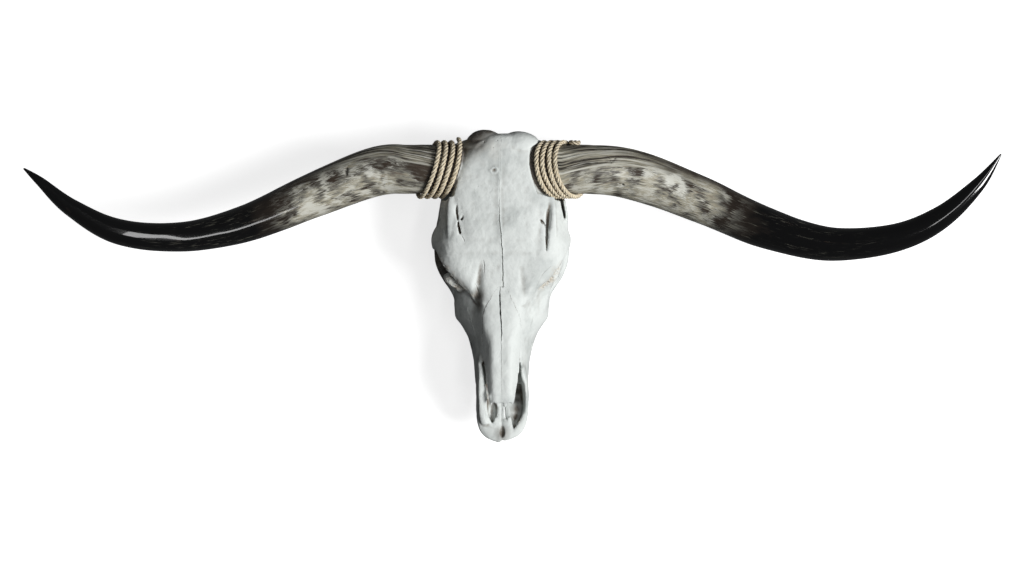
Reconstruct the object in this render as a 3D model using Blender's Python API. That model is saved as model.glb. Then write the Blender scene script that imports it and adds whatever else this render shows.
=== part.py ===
"""Longhorn steer skull, lying face up as it rests, with its polished horns and their rope lashings.

The skull is modelled in its own frame, in millimetres: side is across the skull (positive to the right
of a viewer who looks at the forehead), along runs from the poll towards the muzzle, and up stands out of
the forehead. The empty "rest_pose" then lays that frame on the ground, where it stands on its last cheek
teeth and on the two processes behind them.
"""

import math

import bmesh
import bpy
from mathutils import Matrix, Vector

MM = 0.001

# Driving dimensions, in millimetres and degrees.
SKULL_LENGTH = 534.0  # poll to the tip of the muzzle
NASAL_BACK = 267.0  # where the nasal bones meet the forehead
NASAL_TIP = 466.0
PIECE_GAP = 0.35  # the thin cut that parts one piece from the next
HORN_AXIS_ALONG = 65.0
HORN_AXIS_UP = -45.0
NECK_RADIUS = 39.4  # the bony neck that carries the horn
NECK_LENGTH = 150.0  # how far from the midline the neck's form reaches before it is cut
HORN_RADIUS = 42.4  # the horn at its base
COLLAR_LENGTH = 30.0
ROPE_DIAMETER = 9.0
ROPE_PITCH = 12.2
ROPE_TURNS = 4
ROPE_CLEARANCE = 0.75  # what the faceted rope keeps from the horn under it
REST_TILT = 3.0  # the muzzle lies lower than the poll
GROUND_DEPTH = 184.5  # from the forehead plane down to the ground, under the poll
FUSE_VOXEL = 2.6
BONE_TRIANGLES = 3950

# The edge of each collar lies in a slanted plane: its distance from the midline is
# middle + front * cos(turn) + muzzle * sin(turn), with the turn counted from the front of the horn.
COLLAR_EDGE = {-1: (83.0, -13.0, 11.0), 1: (73.0, -25.0, 6.0)}
# Distance from the collar's edge out to the first turn of rope.
ROPE_START = {-1: 3.0, 1: 11.0}
# How far the left rope's first points are lifted off the horn, and how far outward along the horn and
# round it the right rope's free end goes.
ROPE_LIFTS = (6.0, 3.2, 0.9)
ROPE_TAIL = ((2.2, 5.5), (6.5, 9.0), (12.0, 10.5), (17.0, 11.0))

# Each horn from base to tip: side, along, up, radius.
HORN_PATHS = {
    -1: [
        (40, 65, -45, 42.4), (150, 64.6, -45.4, 42.3), (217, 68, -51, 42.4), (327, 110, -49, 38.2),
        (435, 157, -30, 31.8), (540, 182, 0, 25.3), (641, 175, 38, 21.6), (715, 136, 66, 15.0),
        (763, 93, 84, 7.8), (788, 72, 92, 1.6),
    ],
    1: [
        (40, 65, -45, 42.4), (154, 64.8, -45.4, 42.3), (232, 75, -51, 43.0), (342, 116, -49, 39.6),
        (450, 165, -28, 35.2), (554, 194, 4, 28.9), (656, 186, 40, 24.0), (730, 153, 66, 19.6),
        (789, 98, 86, 11.6), (824, 49, 96, 1.6),
    ],
}
SIDE_NAMES = {-1: "left", 1: "right"}


def at(side, along, up):
    """A point of the skull's frame, in metres."""
    return Vector((side, -along, up)) * MM


def circle(count):
    return [2 * math.pi * i / count for i in range(count)]


def curve_value(p, q, r, s, t):
    """Catmull-Rom between q and r."""
    return 0.5 * (2 * q + (r - p) * t + (2 * p - 5 * q + 4 * r - s) * t**2 + (3 * q - p - 3 * r + s) * t**3)


def smooth_path(stations, steps):
    """Rows of numbers read along a smooth curve through the stations, steps to each span."""
    rows = [stations[0], *stations, stations[-1]]
    path = []
    for a, b, c, d in zip(rows, rows[1:], rows[2:], rows[3:]):
        for i in range(steps):
            path.append([curve_value(p, q, r, s, i / steps) for p, q, r, s in zip(a, b, c, d)])
    path.append(list(stations[-1]))
    return path


def mirrored(stations, side):
    """Stations for the left (-1) or right (1) half, given for the right."""
    return [(row[0] * side, *row[1:]) for row in stations]


def add_loft(bm, rings):
    """A closed body through rings of equal count."""
    loops = [[bm.verts.new(p) for p in ring] for ring in rings]
    faces = [bm.faces.new(loops[0]), bm.faces.new(loops[-1])]
    for a, b in zip(loops, loops[1:]):
        for i in range(len(a)):
            j = (i + 1) % len(a)
            faces.append(bm.faces.new((a[i], a[j], b[j], b[i])))
    bmesh.ops.recalc_face_normals(bm, faces=faces)


def add_ball(bm, centre, radii, lean=0):
    """An ellipsoid with half-sizes (side, along, up), leaning by degrees about the long axis of the skull."""
    spin = Matrix.Rotation(math.radians(lean), 4, "Y")
    size = Matrix.Diagonal((*(r * MM for r in radii), 1))
    place = Matrix.Translation(at(*centre))
    bmesh.ops.create_uvsphere(bm, u_segments=24, v_segments=14, radius=1, matrix=place @ spin @ size)


# How a bar closes: push along its way as a share of its half-size, and share of the section left.
ROUND_END = [(0.4, 0.92), (0.75, 0.66), (0.97, 0.25)]


def add_limb(bm, stations, broad=(0, 0, 1), steps=5, segments=20):
    """A tapering bar with round ends. A station is side, along, up, half-size along broad and across it."""
    path = smooth_path(stations, steps)
    points = [at(*row[:3]) for row in path]
    last = len(path) - 1
    rings = []
    for i, row in enumerate(path):
        way = (points[min(i + 1, last)] - points[max(i - 1, 0)]).normalized()
        tall = (Vector(broad) - way * way.dot(Vector(broad))).normalized()
        wide = way.cross(tall)
        a, b = row[3] * MM, row[4] * MM
        ring = [tall * a * math.cos(q) + wide * b * math.sin(q) for q in circle(segments)]
        ends = [(0.0, 1.0)]
        if i == 0:
            ends = [(-push, share) for push, share in reversed(ROUND_END)] + ends
        if i == last:
            ends = ends + ROUND_END
        for push, share in ends:
            middle = points[i] + way * push * min(a, b)
            rings.append([middle + offset * share for offset in ring])
    add_loft(bm, rings)


def half_ring(points, along, steps=4):
    """A closed ring from a right-hand outline, listed from the top of the midline to its bottom."""
    left = [(-s, u) for s, u in reversed(points[1:-1])]
    outline = points + left
    wrapped = [outline[-1], *outline, outline[0], outline[1]]
    ring = []
    for a, b, c, d in zip(wrapped, wrapped[1:], wrapped[2:], wrapped[3:]):
        for i in range(steps):
            side, up = (curve_value(p, q, r, s, i / steps) for p, q, r, s in zip(a, b, c, d))
            ring.append(at(side, along, up))
    return ring


# ---------------------------------------------------------------- the skull's solid forms


def forehead(bm):
    """The flat frontal plate, from the poll to the front of the eye sockets, and the necks of the horns."""
    # along, half-width, up at the midline, up at the edge
    stations = [
        (5, 44, -16, -26), (14, 60, -5, -22), (30, 70, -1, -18), (64, 76, 1, -16), (98, 86, 0, -17),
        (125, 97, 0, -20), (152, 101, 0, -25), (176, 106, 0, -30), (192, 109, 0, -32), (206, 106, -1, -31),
        (222, 99, -2, -29), (238, 90, -4, -29), (254, 78, -5, -30), (275, 60, -6, -28), (295, 45, -7, -28),
    ]
    rings = []
    for along, half, crown, edge in smooth_path(stations, 3):
        outline = [
            (0, crown), (half * 0.5, crown - 1.5), (half * 0.8, crown * 0.7 + edge * 0.25), (half, edge),
            (half * 0.94, edge - 11), (half * 0.6, -44), (0, -50),
        ]
        rings.append(half_ring(outline, along))
    add_loft(bm, rings)
    for side in (-1, 1):
        add_ball(bm, (side * 33, 21, -21), (30, 21, 20))
        neck = [
            (24, HORN_AXIS_ALONG, HORN_AXIS_UP, 40, 42),
            (NECK_LENGTH, HORN_AXIS_ALONG, HORN_AXIS_UP, 43, 43),
        ]
        add_limb(bm, mirrored(neck, side), segments=32)


def face(bm):
    """The snout from the eye sockets to the front edge of the cheek bones."""
    # along, roof, brow side and up, shoulder side and up, flank side and up, gum side and up, palate
    stations = [
        (240, -6, 44, -9, 62, -30, 66, -74, 52, -128, -122),
        (262, -6, 42, -10, 62, -31, 78, -72, 64, -146, -130),
        (290, -6, 38, -10, 58, -33, 82, -80, 66, -140, -128),
        (313, -5, 33, -9, 52, -31, 78, -84, 65, -134, -122),
        (335, -5, 29, -9, 44, -28, 68, -82, 60, -127, -117),
        (360, -6, 25, -9, 38, -26, 54, -78, 53, -118, -110),
        (392, -8, 22, -11, 33, -28, 47, -72, 45, -107, -101),
        (418, -9, 20, -12, 31, -34, 45, -66, 42, -96, -93),
        (436, -24, 20, -34, 31, -48, 44, -66, 40, -90, -88),
    ]
    rings = []
    for along, roof, *outline, palate in smooth_path(stations, 4):
        sides = list(zip(outline[0::2], outline[1::2]))
        rings.append(half_ring([(0, roof), *sides, (0, palate)], along))
    add_loft(bm, rings)
    for side in (-1, 1):
        add_ball(bm, (side * 76, 311 + side * 7, -87), (8, 20, 11))
        gum = [
            (58, 258, -140, 20, 12), (59, 300, -134, 18, 13), (54, 350, -120, 15, 11), (46, 392, -106, 11, 8),
        ]
        add_limb(bm, mirrored(gum, side))


def nasal_roof(bm):
    """The two long bones over the nose, each ending in two points."""
    for side in (-1, 1):
        body = [
            (13, 300, -11, 6, 16), (15, 380, -12, 4.5, 16), (12, 430, -13, 4, 12.5), (11, 454, -15, 3.6, 10),
        ]
        add_limb(bm, mirrored(body, side))
        add_limb(bm, mirrored([(6, 440, -14, 3.6, 5), (5, NASAL_TIP, -17, 2.8, 2.6)], side))
        add_limb(bm, mirrored([(15, 440, -16, 3.6, 5), (17, NASAL_TIP - 4, -19, 2.8, 2.6)], side))


def muzzle(bm):
    """The incisive bones: a flat toothless pad, and a blade that climbs beside the nose."""
    for side in (-1, 1):
        pad = [
            (37, 414, -91, 8, 8), (38, 446, -85, 6.5, 7.5), (37.5, 480, -78, 5.5, 7.5),
            (35, 498, -75, 5.5, 8), (27, 513, -72, 5.5, 10),
        ]
        add_limb(bm, mirrored(pad, side))
        add_ball(bm, (side * 16, SKULL_LENGTH - 21, -71), (18, 21, 5.5))
        blade = [
            (39, 488, -76, 4.5, 4.5), (41, 470, -71, 10, 4.2), (41.5, 450, -63, 20, 4.2),
            (40, 430, -56, 28, 4.6), (35, 408, -50, 25, 5),
        ]
        add_limb(bm, mirrored(blade, side))
        add_limb(bm, mirrored([(9, 516, -72, 5, 6), (5, 484, -78, 4, 3.6), (5.5, 430, -88, 5, 4)], side))


def braincase(bm):
    """The narrow box between the temples, and the bar under it that runs back to the neck."""
    core = [
        (0, 40, -84, 50, 60), (0, 90, -86, 54, 62), (0, 140, -84, 52, 57), (0, 185, -80, 50, 46),
        (0, 235, -78, 52, 46), (0, 285, -76, 50, 54),
    ]
    add_limb(bm, core)
    base = [(0, 215, -112, 18, 22), (0, 150, -128, 13, 18), (0, 95, -138, 12, 17), (0, 45, -142, 14, 26)]
    add_limb(bm, base)


def nape(bm):
    """The back of the head: the broad neck plate, its condyles, and the processes that reach the ground."""
    # up, half-width, along, half-thickness
    stations = [
        (-8, 46, 22, 14), (-30, 68, 20, 17), (-60, 78, 20, 17), (-85, 93, 25, 17), (-106, 95, 31, 16),
        (-124, 78, 34, 16), (-142, 42, 34, 17),
    ]
    rings = []
    for up, half, along, thick in smooth_path(stations, 3):
        rings.append([at(half * math.cos(q), along + thick * math.sin(q), up) for q in circle(32)])
    add_loft(bm, rings)
    add_ball(bm, (0, 7, -58), (16, 8, 20))
    for side in (-1, 1):
        add_ball(bm, (side * 27, 22, -143), (16, 21, 24), lean=side * 18)
        hook = [
            (60, 40, -112, 19, 12), (63, 43, -138, 16, 9), (62, 46, -160, 13, 8), (59, 49, -177, 10, 7.5),
        ]
        add_limb(bm, mirrored(hook, side), broad=(0, 1, 0))
        add_ball(bm, (side * 38, 86, -140), (13, 19, 18))
        add_limb(bm, mirrored([(60, 80, -112, 10, 10), (83, 74, -112, 7.5, 7.5)], side))


def cheek(bm, side):
    """The zygomatic arch, the rim of the eye socket and the bar behind it."""
    arch = [
        (84, 38, -102, 14, 9), (86, 72, -107, 11, 10), (93, 98, -106, 10, 11), (102, 126, -104, 10, 7),
        (109, 158, -101, 10, 5.5), (112, 190, -98, 11, 6.5), (110, 220, -100, 12, 7), (99, 246, -99, 15, 8),
        (79, 276, -95, 18, 9), (69, 306, -90, 17, 10),
    ]
    add_limb(bm, mirrored(arch, side))
    add_ball(bm, (side * 84, 100, -112), (21, 15, 8))
    rim = [
        (78, 256, -38, 9, 9), (90, 240, -32, 8, 8), (100, 222, -31, 8, 8), (107, 204, -35, 8, 9),
        (112, 189, -48, 8, 11), (112, 188, -68, 7, 10), (111, 194, -86, 8, 9), (108, 215, -95, 8, 8),
        (97, 240, -92, 8, 8), (85, 257, -80, 9, 9), (76, 264, -60, 10, 10), (78, 256, -38, 9, 9),
    ]
    add_limb(bm, mirrored(rim, side), broad=(1, 0, 0), steps=4)


def throat(bm, side):
    """The thin plates that hang behind the palate, with their hooks."""
    plate = [
        (28, 270, -128, 16, 7), (23, 240, -132, 20, 5), (20, 210, -128, 20, 4.5), (21, 194, -138, 10, 4.5),
    ]
    add_limb(bm, mirrored(plate, side))
    add_limb(bm, mirrored([(21, 202, -140, 7, 4.5), (22, 194, -155, 5, 4)], side), broad=(0, 1, 0))


# Upper cheek teeth, front to back: three premolars of one column, three molars of two.
TOOTH_LENGTHS = (15.0, 18.0, 19.0, 25.0, 28.0, 30.0)
TOOTH_COLUMNS = (1, 1, 1, 2, 2, 2)
TOOTH_ROW_FRONT = (46.0, 392.0, -107.0)
TOOTH_ROW_BACK = (59.0, 258.0, -146.0)
TOOTH_ROW_BOW = 4.5
CROWN_HEIGHT = 22.0
ROOT_HEIGHT = 16.0


def cheek_teeth(bm, side):
    """Each tooth is one or two upright columns of enamel in a gently bowed row."""
    row = sum(TOOTH_LENGTHS)
    reached = 0.0
    for length, columns in zip(TOOTH_LENGTHS, TOOTH_COLUMNS):
        for column in range(columns):
            share = (reached + length * (column + 0.5) / columns) / row
            neck = Vector(TOOTH_ROW_FRONT).lerp(Vector(TOOTH_ROW_BACK), share)
            neck.x += TOOTH_ROW_BOW * math.sin(math.pi * share)
            deep = 0.51 * length / columns
            wide = 8.5 + 3.5 * min(1.0, 1.6 * share)
            root = neck + Vector((-1.0, -4.0, ROOT_HEIGHT))
            tip = neck + Vector((1.0, 3.0, -CROWN_HEIGHT))
            crown = [(*root, deep, wide), (*neck, deep, wide), (*tip, deep, wide * 0.9)]
            add_limb(bm, mirrored(crown, side), broad=(0, 1, 0), steps=2, segments=14)
        reached += length


# ---------------------------------------------------------------- what is hollow


def eye_socket(bm, side):
    """The orbit, its flared mouth, and the gap that leads back to the temple."""
    add_ball(bm, (side * 80, 224, -62), (38, 28, 26))
    add_limb(bm, mirrored([(80, 225, -62, 24, 25), (112, 226, -62, 26, 27), (145, 234, -60, 34, 36)], side))
    add_limb(bm, mirrored([(84, 220, -66, 22, 22), (78, 178, -72, 20, 18), (86, 140, -74, 24, 16)], side))


# Where each nose slot lies beside the nasal bones: side, along, half-width. The right one gapes wider.
NOSE_SLOT = {
    -1: [(33, 388, 1.0), (32, 405, 3.2), (31, 425, 5.4), (29.5, 455, 7.6), (27, 490, 8.5)],
    1: [(29.5, 402, 1.0), (29, 420, 3.4), (29, 440, 8.2), (28, 460, 8.6), (27, 490, 8.5)],
}


def nose_cavity(bm):
    """The nose passages, the slots beside the nasal bones and the long slots through the muzzle's floor."""
    for side in (-1, 1):
        passage = [
            (18, 318, -60, 22, 12), (18, 350, -58, 34, 15), (18, 395, -53, 33, 17), (18, 430, -50, 32, 17.5),
            (18, 470, -44, 30, 18.5), (18, 520, -36, 28, 20),
        ]
        add_limb(bm, mirrored(passage, side))
        slot = [(across, along, -18, 19, wide) for across, along, wide in NOSE_SLOT[side]]
        add_limb(bm, mirrored(slot, side))
        add_limb(bm, mirrored([(19.5, 472, -82, 22, 10), (19, 494, -76, 22, 9.5)], side))
    add_limb(bm, [(0, 350, -44, 22, 10), (0, 400, -38, 20, 10), (0, 520, -34, 24, 10)])
    add_limb(bm, [(0, 513, -70, 16, 1.4), (0, 545, -70, 16, 4.0)])


def throat_opening(bm):
    add_limb(bm, [(0, 262, -122, 13, 15), (0, 230, -138, 22, 16), (0, 196, -150, 20, 15)])


def skull_openings(bm):
    """The spinal opening, ear canals and the nerve holes of the cheeks."""
    add_limb(bm, [(0, -20, -121, 17, 18), (0, 50, -112, 16, 17), (0, 90, -100, 24, 26)])
    for side in (-1, 1):
        add_limb(bm, mirrored([(64, 78, -113, 4, 4), (94, 73, -113, 4.5, 4.5)], side))
        add_limb(bm, mirrored([(44, 350, -82, 4, 3), (54, 376, -82, 5.5, 3.6)], side))


def skull_forms(bm):
    forehead(bm)
    face(bm)
    nasal_roof(bm)
    muzzle(bm)
    braincase(bm)
    nape(bm)
    for side in (-1, 1):
        cheek(bm, side)
        throat(bm, side)
        cheek_teeth(bm, side)


def skull_hollows(bm):
    nose_cavity(bm)
    throat_opening(bm)
    skull_openings(bm)
    for side in (-1, 1):
        eye_socket(bm, side)


# ---------------------------------------------------------------- fusing, cutting and parting


def new_object(name, bm):
    mesh = bpy.data.meshes.new(name)
    bm.to_mesh(mesh)
    bm.free()
    obj = bpy.data.objects.new(name, mesh)
    bpy.context.scene.collection.objects.link(obj)
    return obj


def helper(obj):
    """A cutter, which isn't part of the object."""
    obj.hide_render = True
    obj.display_type = "WIRE"
    return obj


def fuse(obj, voxel, rounds):
    """Makes overlapping forms one skin and rounds their meeting edges."""
    remesh = obj.modifiers.new("Fuse", "REMESH")
    remesh.mode = "VOXEL"
    remesh.voxel_size = voxel * MM
    soften = obj.modifiers.new("Soften", "SMOOTH")
    soften.factor = 0.5
    soften.iterations = rounds


def carve(obj, cutter, operation="DIFFERENCE"):
    cut = obj.modifiers.new("Carve", "BOOLEAN")
    cut.object = cutter
    cut.operation = operation
    cut.solver = "EXACT"


def settled(name, obj):
    """A new object from the mesh that obj's modifiers make."""
    seen = obj.evaluated_get(bpy.context.evaluated_depsgraph_get())
    mesh = bpy.data.meshes.new_from_object(seen)
    mesh.name = name
    result = bpy.data.objects.new(name, mesh)
    bpy.context.scene.collection.objects.link(result)
    return result


def triangle_count(obj):
    return sum(len(face.vertices) - 2 for face in obj.data.polygons)


def whole_skull():
    """Every bone in one skin, before the horns' seats are cut and the bones are parted."""
    bm = bmesh.new()
    skull_forms(bm)
    forms = helper(new_object("skull_forms", bm))
    fuse(forms, FUSE_VOXEL, 3)
    bm = bmesh.new()
    skull_hollows(bm)
    hollows = helper(new_object("skull_hollows", bm))
    fuse(hollows, FUSE_VOXEL, 1)
    carve(forms, hollows)
    fuse(forms, FUSE_VOXEL, 3)
    skull = helper(settled("skull_whole", forms))
    thin = skull.modifiers.new("Thin", "DECIMATE")
    thin.ratio = BONE_TRIANGLES / triangle_count(skull)
    return skull


def collar_edge(side, turn, offset, radius=HORN_RADIUS):
    """Distance from the midline of the slanted plane at a turn and radius round the horn."""
    middle, front, muzzle_side = COLLAR_EDGE[side]
    lean = (front * math.cos(turn) + muzzle_side * math.sin(turn)) * radius / HORN_RADIUS
    return middle + lean + offset


def horn_ring(side, radius, distance, count):
    """A ring round the horn's axis. distance(turn) is how far from the midline each point lies."""
    ring = []
    for turn in circle(count):
        along = HORN_AXIS_ALONG + radius * math.sin(turn)
        up = HORN_AXIS_UP + radius * math.cos(turn)
        ring.append(at(side * distance(turn), along, up))
    return ring


def horn_seat_cutter(side):
    """What the horn's seat removes: the room for collar and rope round the neck, and all beyond its end."""
    count = 40
    rope_radius = HORN_RADIUS + ROPE_DIAMETER + ROPE_CLEARANCE + 2 * PIECE_GAP
    # The rope crosses the slanted edge at up to 30 degrees, which makes it wider there than its diameter.
    rope_edge = ROPE_START[side] - ROPE_DIAMETER / 2 / math.cos(math.radians(30))
    inner = min(0.0, rope_edge) - PIECE_GAP
    end = COLLAR_LENGTH - PIECE_GAP
    beyond = 2 * NECK_LENGTH

    def plane(offset, radius):
        return lambda turn: collar_edge(side, turn, offset, radius)

    bm = bmesh.new()
    add_loft(bm, [
        horn_ring(side, NECK_RADIUS, plane(end, NECK_RADIUS), count),
        horn_ring(side, NECK_RADIUS, plane(inner, NECK_RADIUS), count),
        horn_ring(side, rope_radius, plane(inner, rope_radius), count),
        horn_ring(side, rope_radius, lambda turn: beyond, count),
    ])
    return helper(new_object(f"horn_seat_{SIDE_NAMES[side]}", bm))


def collar(side):
    """The dark band round the neck, between the bone and the horn."""
    bm = bmesh.new()
    count = 28
    inner, outer = NECK_RADIUS + PIECE_GAP, HORN_RADIUS
    end = COLLAR_LENGTH - PIECE_GAP
    corners = [(inner, 0.0), (outer, 0.0), (outer, end), (inner, end)]
    loops = []
    for radius, offset in corners:
        ring = horn_ring(side, radius, lambda turn: collar_edge(side, turn, offset, radius), count)
        loops.append([bm.verts.new(p) for p in ring])
    for a, b in zip(loops, loops[1:] + loops[:1]):
        for i in range(count):
            j = (i + 1) % count
            bm.faces.new((a[i], a[j], b[j], b[i]))
    bmesh.ops.recalc_face_normals(bm, faces=bm.faces)
    return new_object(f"collar_{SIDE_NAMES[side]}", bm)


def horn(side):
    """The horn from the slanted end of the collar out to its tip."""
    bm = bmesh.new()
    path = smooth_path(mirrored(HORN_PATHS[side], side), 4)
    points = [at(*row[:3]) for row in path]
    last = len(path) - 1
    rings = []
    for i, row in enumerate(path):
        way = (points[min(i + 1, last)] - points[max(i - 1, 0)]).normalized()
        front = (Vector((0, 0, 1)) - way * way.z).normalized()
        across = way.cross(front)
        radius = row[3] * MM
        ring = [(front * math.cos(q) + across * math.sin(q)) * radius for q in circle(14)]
        rings.append([points[i] + offset for offset in ring])
    add_loft(bm, rings)
    # Three points of the slanted plane at the end of the collar.
    seat = horn_ring(side, HORN_RADIUS, lambda turn: collar_edge(side, turn, COLLAR_LENGTH), 3)
    facing = (seat[1] - seat[0]).cross(seat[2] - seat[0]).normalized()
    if facing.x * side < 0:
        facing.negate()
    cut_flat(bm, seat[0], facing)
    return new_object(f"horn_{SIDE_NAMES[side]}", bm)


def cut_flat(bm, point, facing):
    """Removes what lies behind a plane and closes the cut with flat faces."""
    geometry = bm.verts[:] + bm.edges[:] + bm.faces[:]
    bmesh.ops.bisect_plane(bm, geom=geometry, plane_co=point, plane_no=facing, clear_inner=True)
    rim = [edge for edge in bm.edges if edge.is_boundary]
    bmesh.ops.holes_fill(bm, edges=rim)
    bmesh.ops.triangulate(bm, faces=[face for face in bm.faces if len(face.verts) > 4])
    bmesh.ops.recalc_face_normals(bm, faces=bm.faces)


def horn_point(side, distance, turn, radius):
    along = HORN_AXIS_ALONG + radius * math.sin(turn)
    up = HORN_AXIS_UP + radius * math.cos(turn)
    return at(side * distance, along, up)


def rope_path(side):
    """Centre points of the rope, which starts and ends at the poll side of the horn."""
    per_turn = 18
    poll_side = -math.pi / 2
    lie = HORN_RADIUS + PIECE_GAP + ROPE_DIAMETER / 2 + ROPE_CLEARANCE
    points = []
    for i in range(ROPE_TURNS * per_turn + 1):
        turn = poll_side + 2 * math.pi * i / per_turn
        distance = collar_edge(side, turn, ROPE_START[side] + ROPE_PITCH * i / per_turn)
        lift = ROPE_LIFTS[i] if side < 0 and i < len(ROPE_LIFTS) else 0.0
        points.append(horn_point(side, distance, turn, lie + lift))
    if side > 0:
        for out, back in ROPE_TAIL:
            points.append(horn_point(side, distance + out, poll_side + back / lie, lie))
    return points


def rope(side):
    """The rope lashing as a plain tube along its real turns."""
    bm = bmesh.new()
    points = rope_path(side)
    last = len(points) - 1
    axis = at(0, HORN_AXIS_ALONG, HORN_AXIS_UP)
    rings = []
    for i, point in enumerate(points):
        way = (points[min(i + 1, last)] - points[max(i - 1, 0)]).normalized()
        out = point - axis
        out.x = 0
        out = (out - way * way.dot(out)).normalized()
        across = way.cross(out)
        radius = ROPE_DIAMETER / 2 * MM
        rings.append([point + (out * math.cos(q) + across * math.sin(q)) * radius for q in circle(7)])
    add_loft(bm, rings)
    return new_object(f"rope_{SIDE_NAMES[side]}", bm)


def region(name, rings):
    bm = bmesh.new()
    add_loft(bm, rings)
    return helper(new_object(name, bm))


def borders(side, inset, half):
    """Near and far border of the space of one side's bone, or of both bones' where side is 0."""
    if side == 0:
        return -half, half
    return side * inset / 2, side * (half - inset)


def nasal_region(side, inset, name):
    """The space that the nasal bones of one side or of both fill, drawn in by inset."""
    # along, half-width, up at the underside
    stations = [
        (NASAL_BACK + inset, 5, -12), (276, 14, -13), (288, 23, -16), (324, 30, -19), (345, 31, -20),
        (356, 31.5, -28), (398, 30.5, -29), (425, 29, -29), (450, 28, -29), (NASAL_TIP + 12, 28, -29),
    ]
    top = 12
    rings = []
    for along, half, under in stations:
        near, far = borders(side, inset, half)
        corners = [(near, top), (far, top), (far, under + inset), (near, under + inset)]
        rings.append([at(across, along, up) for across, up in corners])
    return region(name, rings)


def muzzle_region(side, inset, name):
    """The space in front of the slanted joint between the cheek bones and the incisive bones."""
    outline = [(404 + inset, 4), (441 + inset, -110), (570, -110), (570, 4)]
    rings = [[at(across, along, up) for along, up in outline] for across in borders(side, inset, 90)]
    return region(name, rings)


def drop_chips(obj):
    """Keeps the largest piece of a cut bone, without the chips that a cut leaves beside it."""
    bm = bmesh.new()
    bm.from_mesh(obj.data)
    unseen = set(bm.verts)
    bodies = []
    while unseen:
        body, edge = set(), [unseen.pop()]
        while edge:
            vert = edge.pop()
            body.add(vert)
            near = {e.other_vert(vert) for e in vert.link_edges} & unseen
            unseen -= near
            edge.extend(near)
        bodies.append(body)
    bodies.sort(key=len)
    for body in bodies[:-1]:
        bmesh.ops.delete(bm, geom=list(body), context="VERTS")
    bm.to_mesh(obj.data)
    bm.free()


def cut_piece(name, whole, cutter, operation):
    """A new object from the mesh of another, cut by a region."""
    work = helper(settled(f"{name}_uncut", whole))
    carve(work, cutter, operation)
    return settled(name, work)


def parted_bones(skull):
    """The cranium, nasal bones and incisive bones, each a body of its own."""
    bones = []
    rest = skull
    for bone, space in (("nasal", nasal_region), ("incisive", muzzle_region)):
        for side in (-1, 1):
            name = f"{bone}_{SIDE_NAMES[side]}"
            bones.append(cut_piece(name, rest, space(side, PIECE_GAP, f"{name}_space"), "INTERSECT"))
        name = f"rest_of_{bone}"
        rest = helper(cut_piece(name, rest, space(0, 0.0, f"{name}_space"), "DIFFERENCE"))
    cranium = settled("cranium", rest)
    bones.append(cranium)
    for bone in bones:
        drop_chips(bone)
    return bones


# ---------------------------------------------------------------- rest pose and finishes


def rest_turn():
    return Matrix.Rotation(math.radians(REST_TILT), 4, "X")


def stand_on_flats(cranium):
    """Wears the last cheek teeth and the processes behind them flat where they meet the ground."""
    ground = rest_turn().inverted()
    bm = bmesh.new()
    bm.from_mesh(cranium.data)
    cut_flat(bm, ground @ Vector((0, 0, -GROUND_DEPTH * MM)), ground @ Vector((0, 0, 1)))
    bm.to_mesh(cranium.data)
    bm.free()


def rest_pose(pieces):
    """Lays the skull's frame on the ground, centred over the origin."""
    turn = rest_turn()
    corners = [turn @ vert.co for piece in pieces for vert in piece.data.vertices]
    centre = [(min(c[k] for c in corners) + max(c[k] for c in corners)) / 2 for k in (0, 1)]
    empty = bpy.data.objects.new("rest_pose", None)
    bpy.context.scene.collection.objects.link(empty)
    empty.rotation_euler.x = math.radians(REST_TILT)
    empty.location = (-centre[0], -centre[1], GROUND_DEPTH * MM)
    for piece in pieces:
        piece.parent = empty


FINISHES = {
    "bone": ((0.83, 0.84, 0.81, 1.0), 0.85),
    "horn": ((0.16, 0.13, 0.10, 1.0), 0.28),
    "collar": ((0.07, 0.06, 0.05, 1.0), 0.80),
    "rope": ((0.70, 0.58, 0.40, 1.0), 0.90),
}


def finish(piece, kind):
    """Gives a piece a plain finish of its own."""
    colour, roughness = FINISHES[kind]
    material = bpy.data.materials.new(f"{piece.name}_{kind}")
    material.use_nodes = True
    shader = material.node_tree.nodes["Principled BSDF"]
    shader.inputs["Base Color"].default_value = colour
    shader.inputs["Roughness"].default_value = roughness
    piece.data.materials.clear()
    piece.data.materials.append(material)
    piece.data.shade_smooth()
    piece.data.set_sharp_from_angle(angle=math.radians(40))


def clear_scene():
    for obj in list(bpy.data.objects):
        bpy.data.objects.remove(obj)


clear_scene()
skull = whole_skull()
for side in (-1, 1):
    carve(skull, horn_seat_cutter(side))
bones = parted_bones(skull)
stand_on_flats(bones[-1])
pieces = [(bone, "bone") for bone in bones]
for side in (-1, 1):
    pieces += [(horn(side), "horn"), (collar(side), "collar"), (rope(side), "rope")]
for piece, kind in pieces:
    finish(piece, kind)
rest_pose([piece for piece, kind in pieces])
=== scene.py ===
"""A longhorn steer skull as a museum shows it, lying face up, with polished horns lashed at their roots.

The skull is drawn in its own frame, in millimetres: side is across the skull (positive to the right of
someone who looks down at the forehead), along runs from the poll to the muzzle, up stands out of the
forehead. Left and right are that viewer's.
"""
import math
import random

import bmesh
import bpy
import numpy as np
from mathutils import Matrix, Vector, noise


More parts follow.
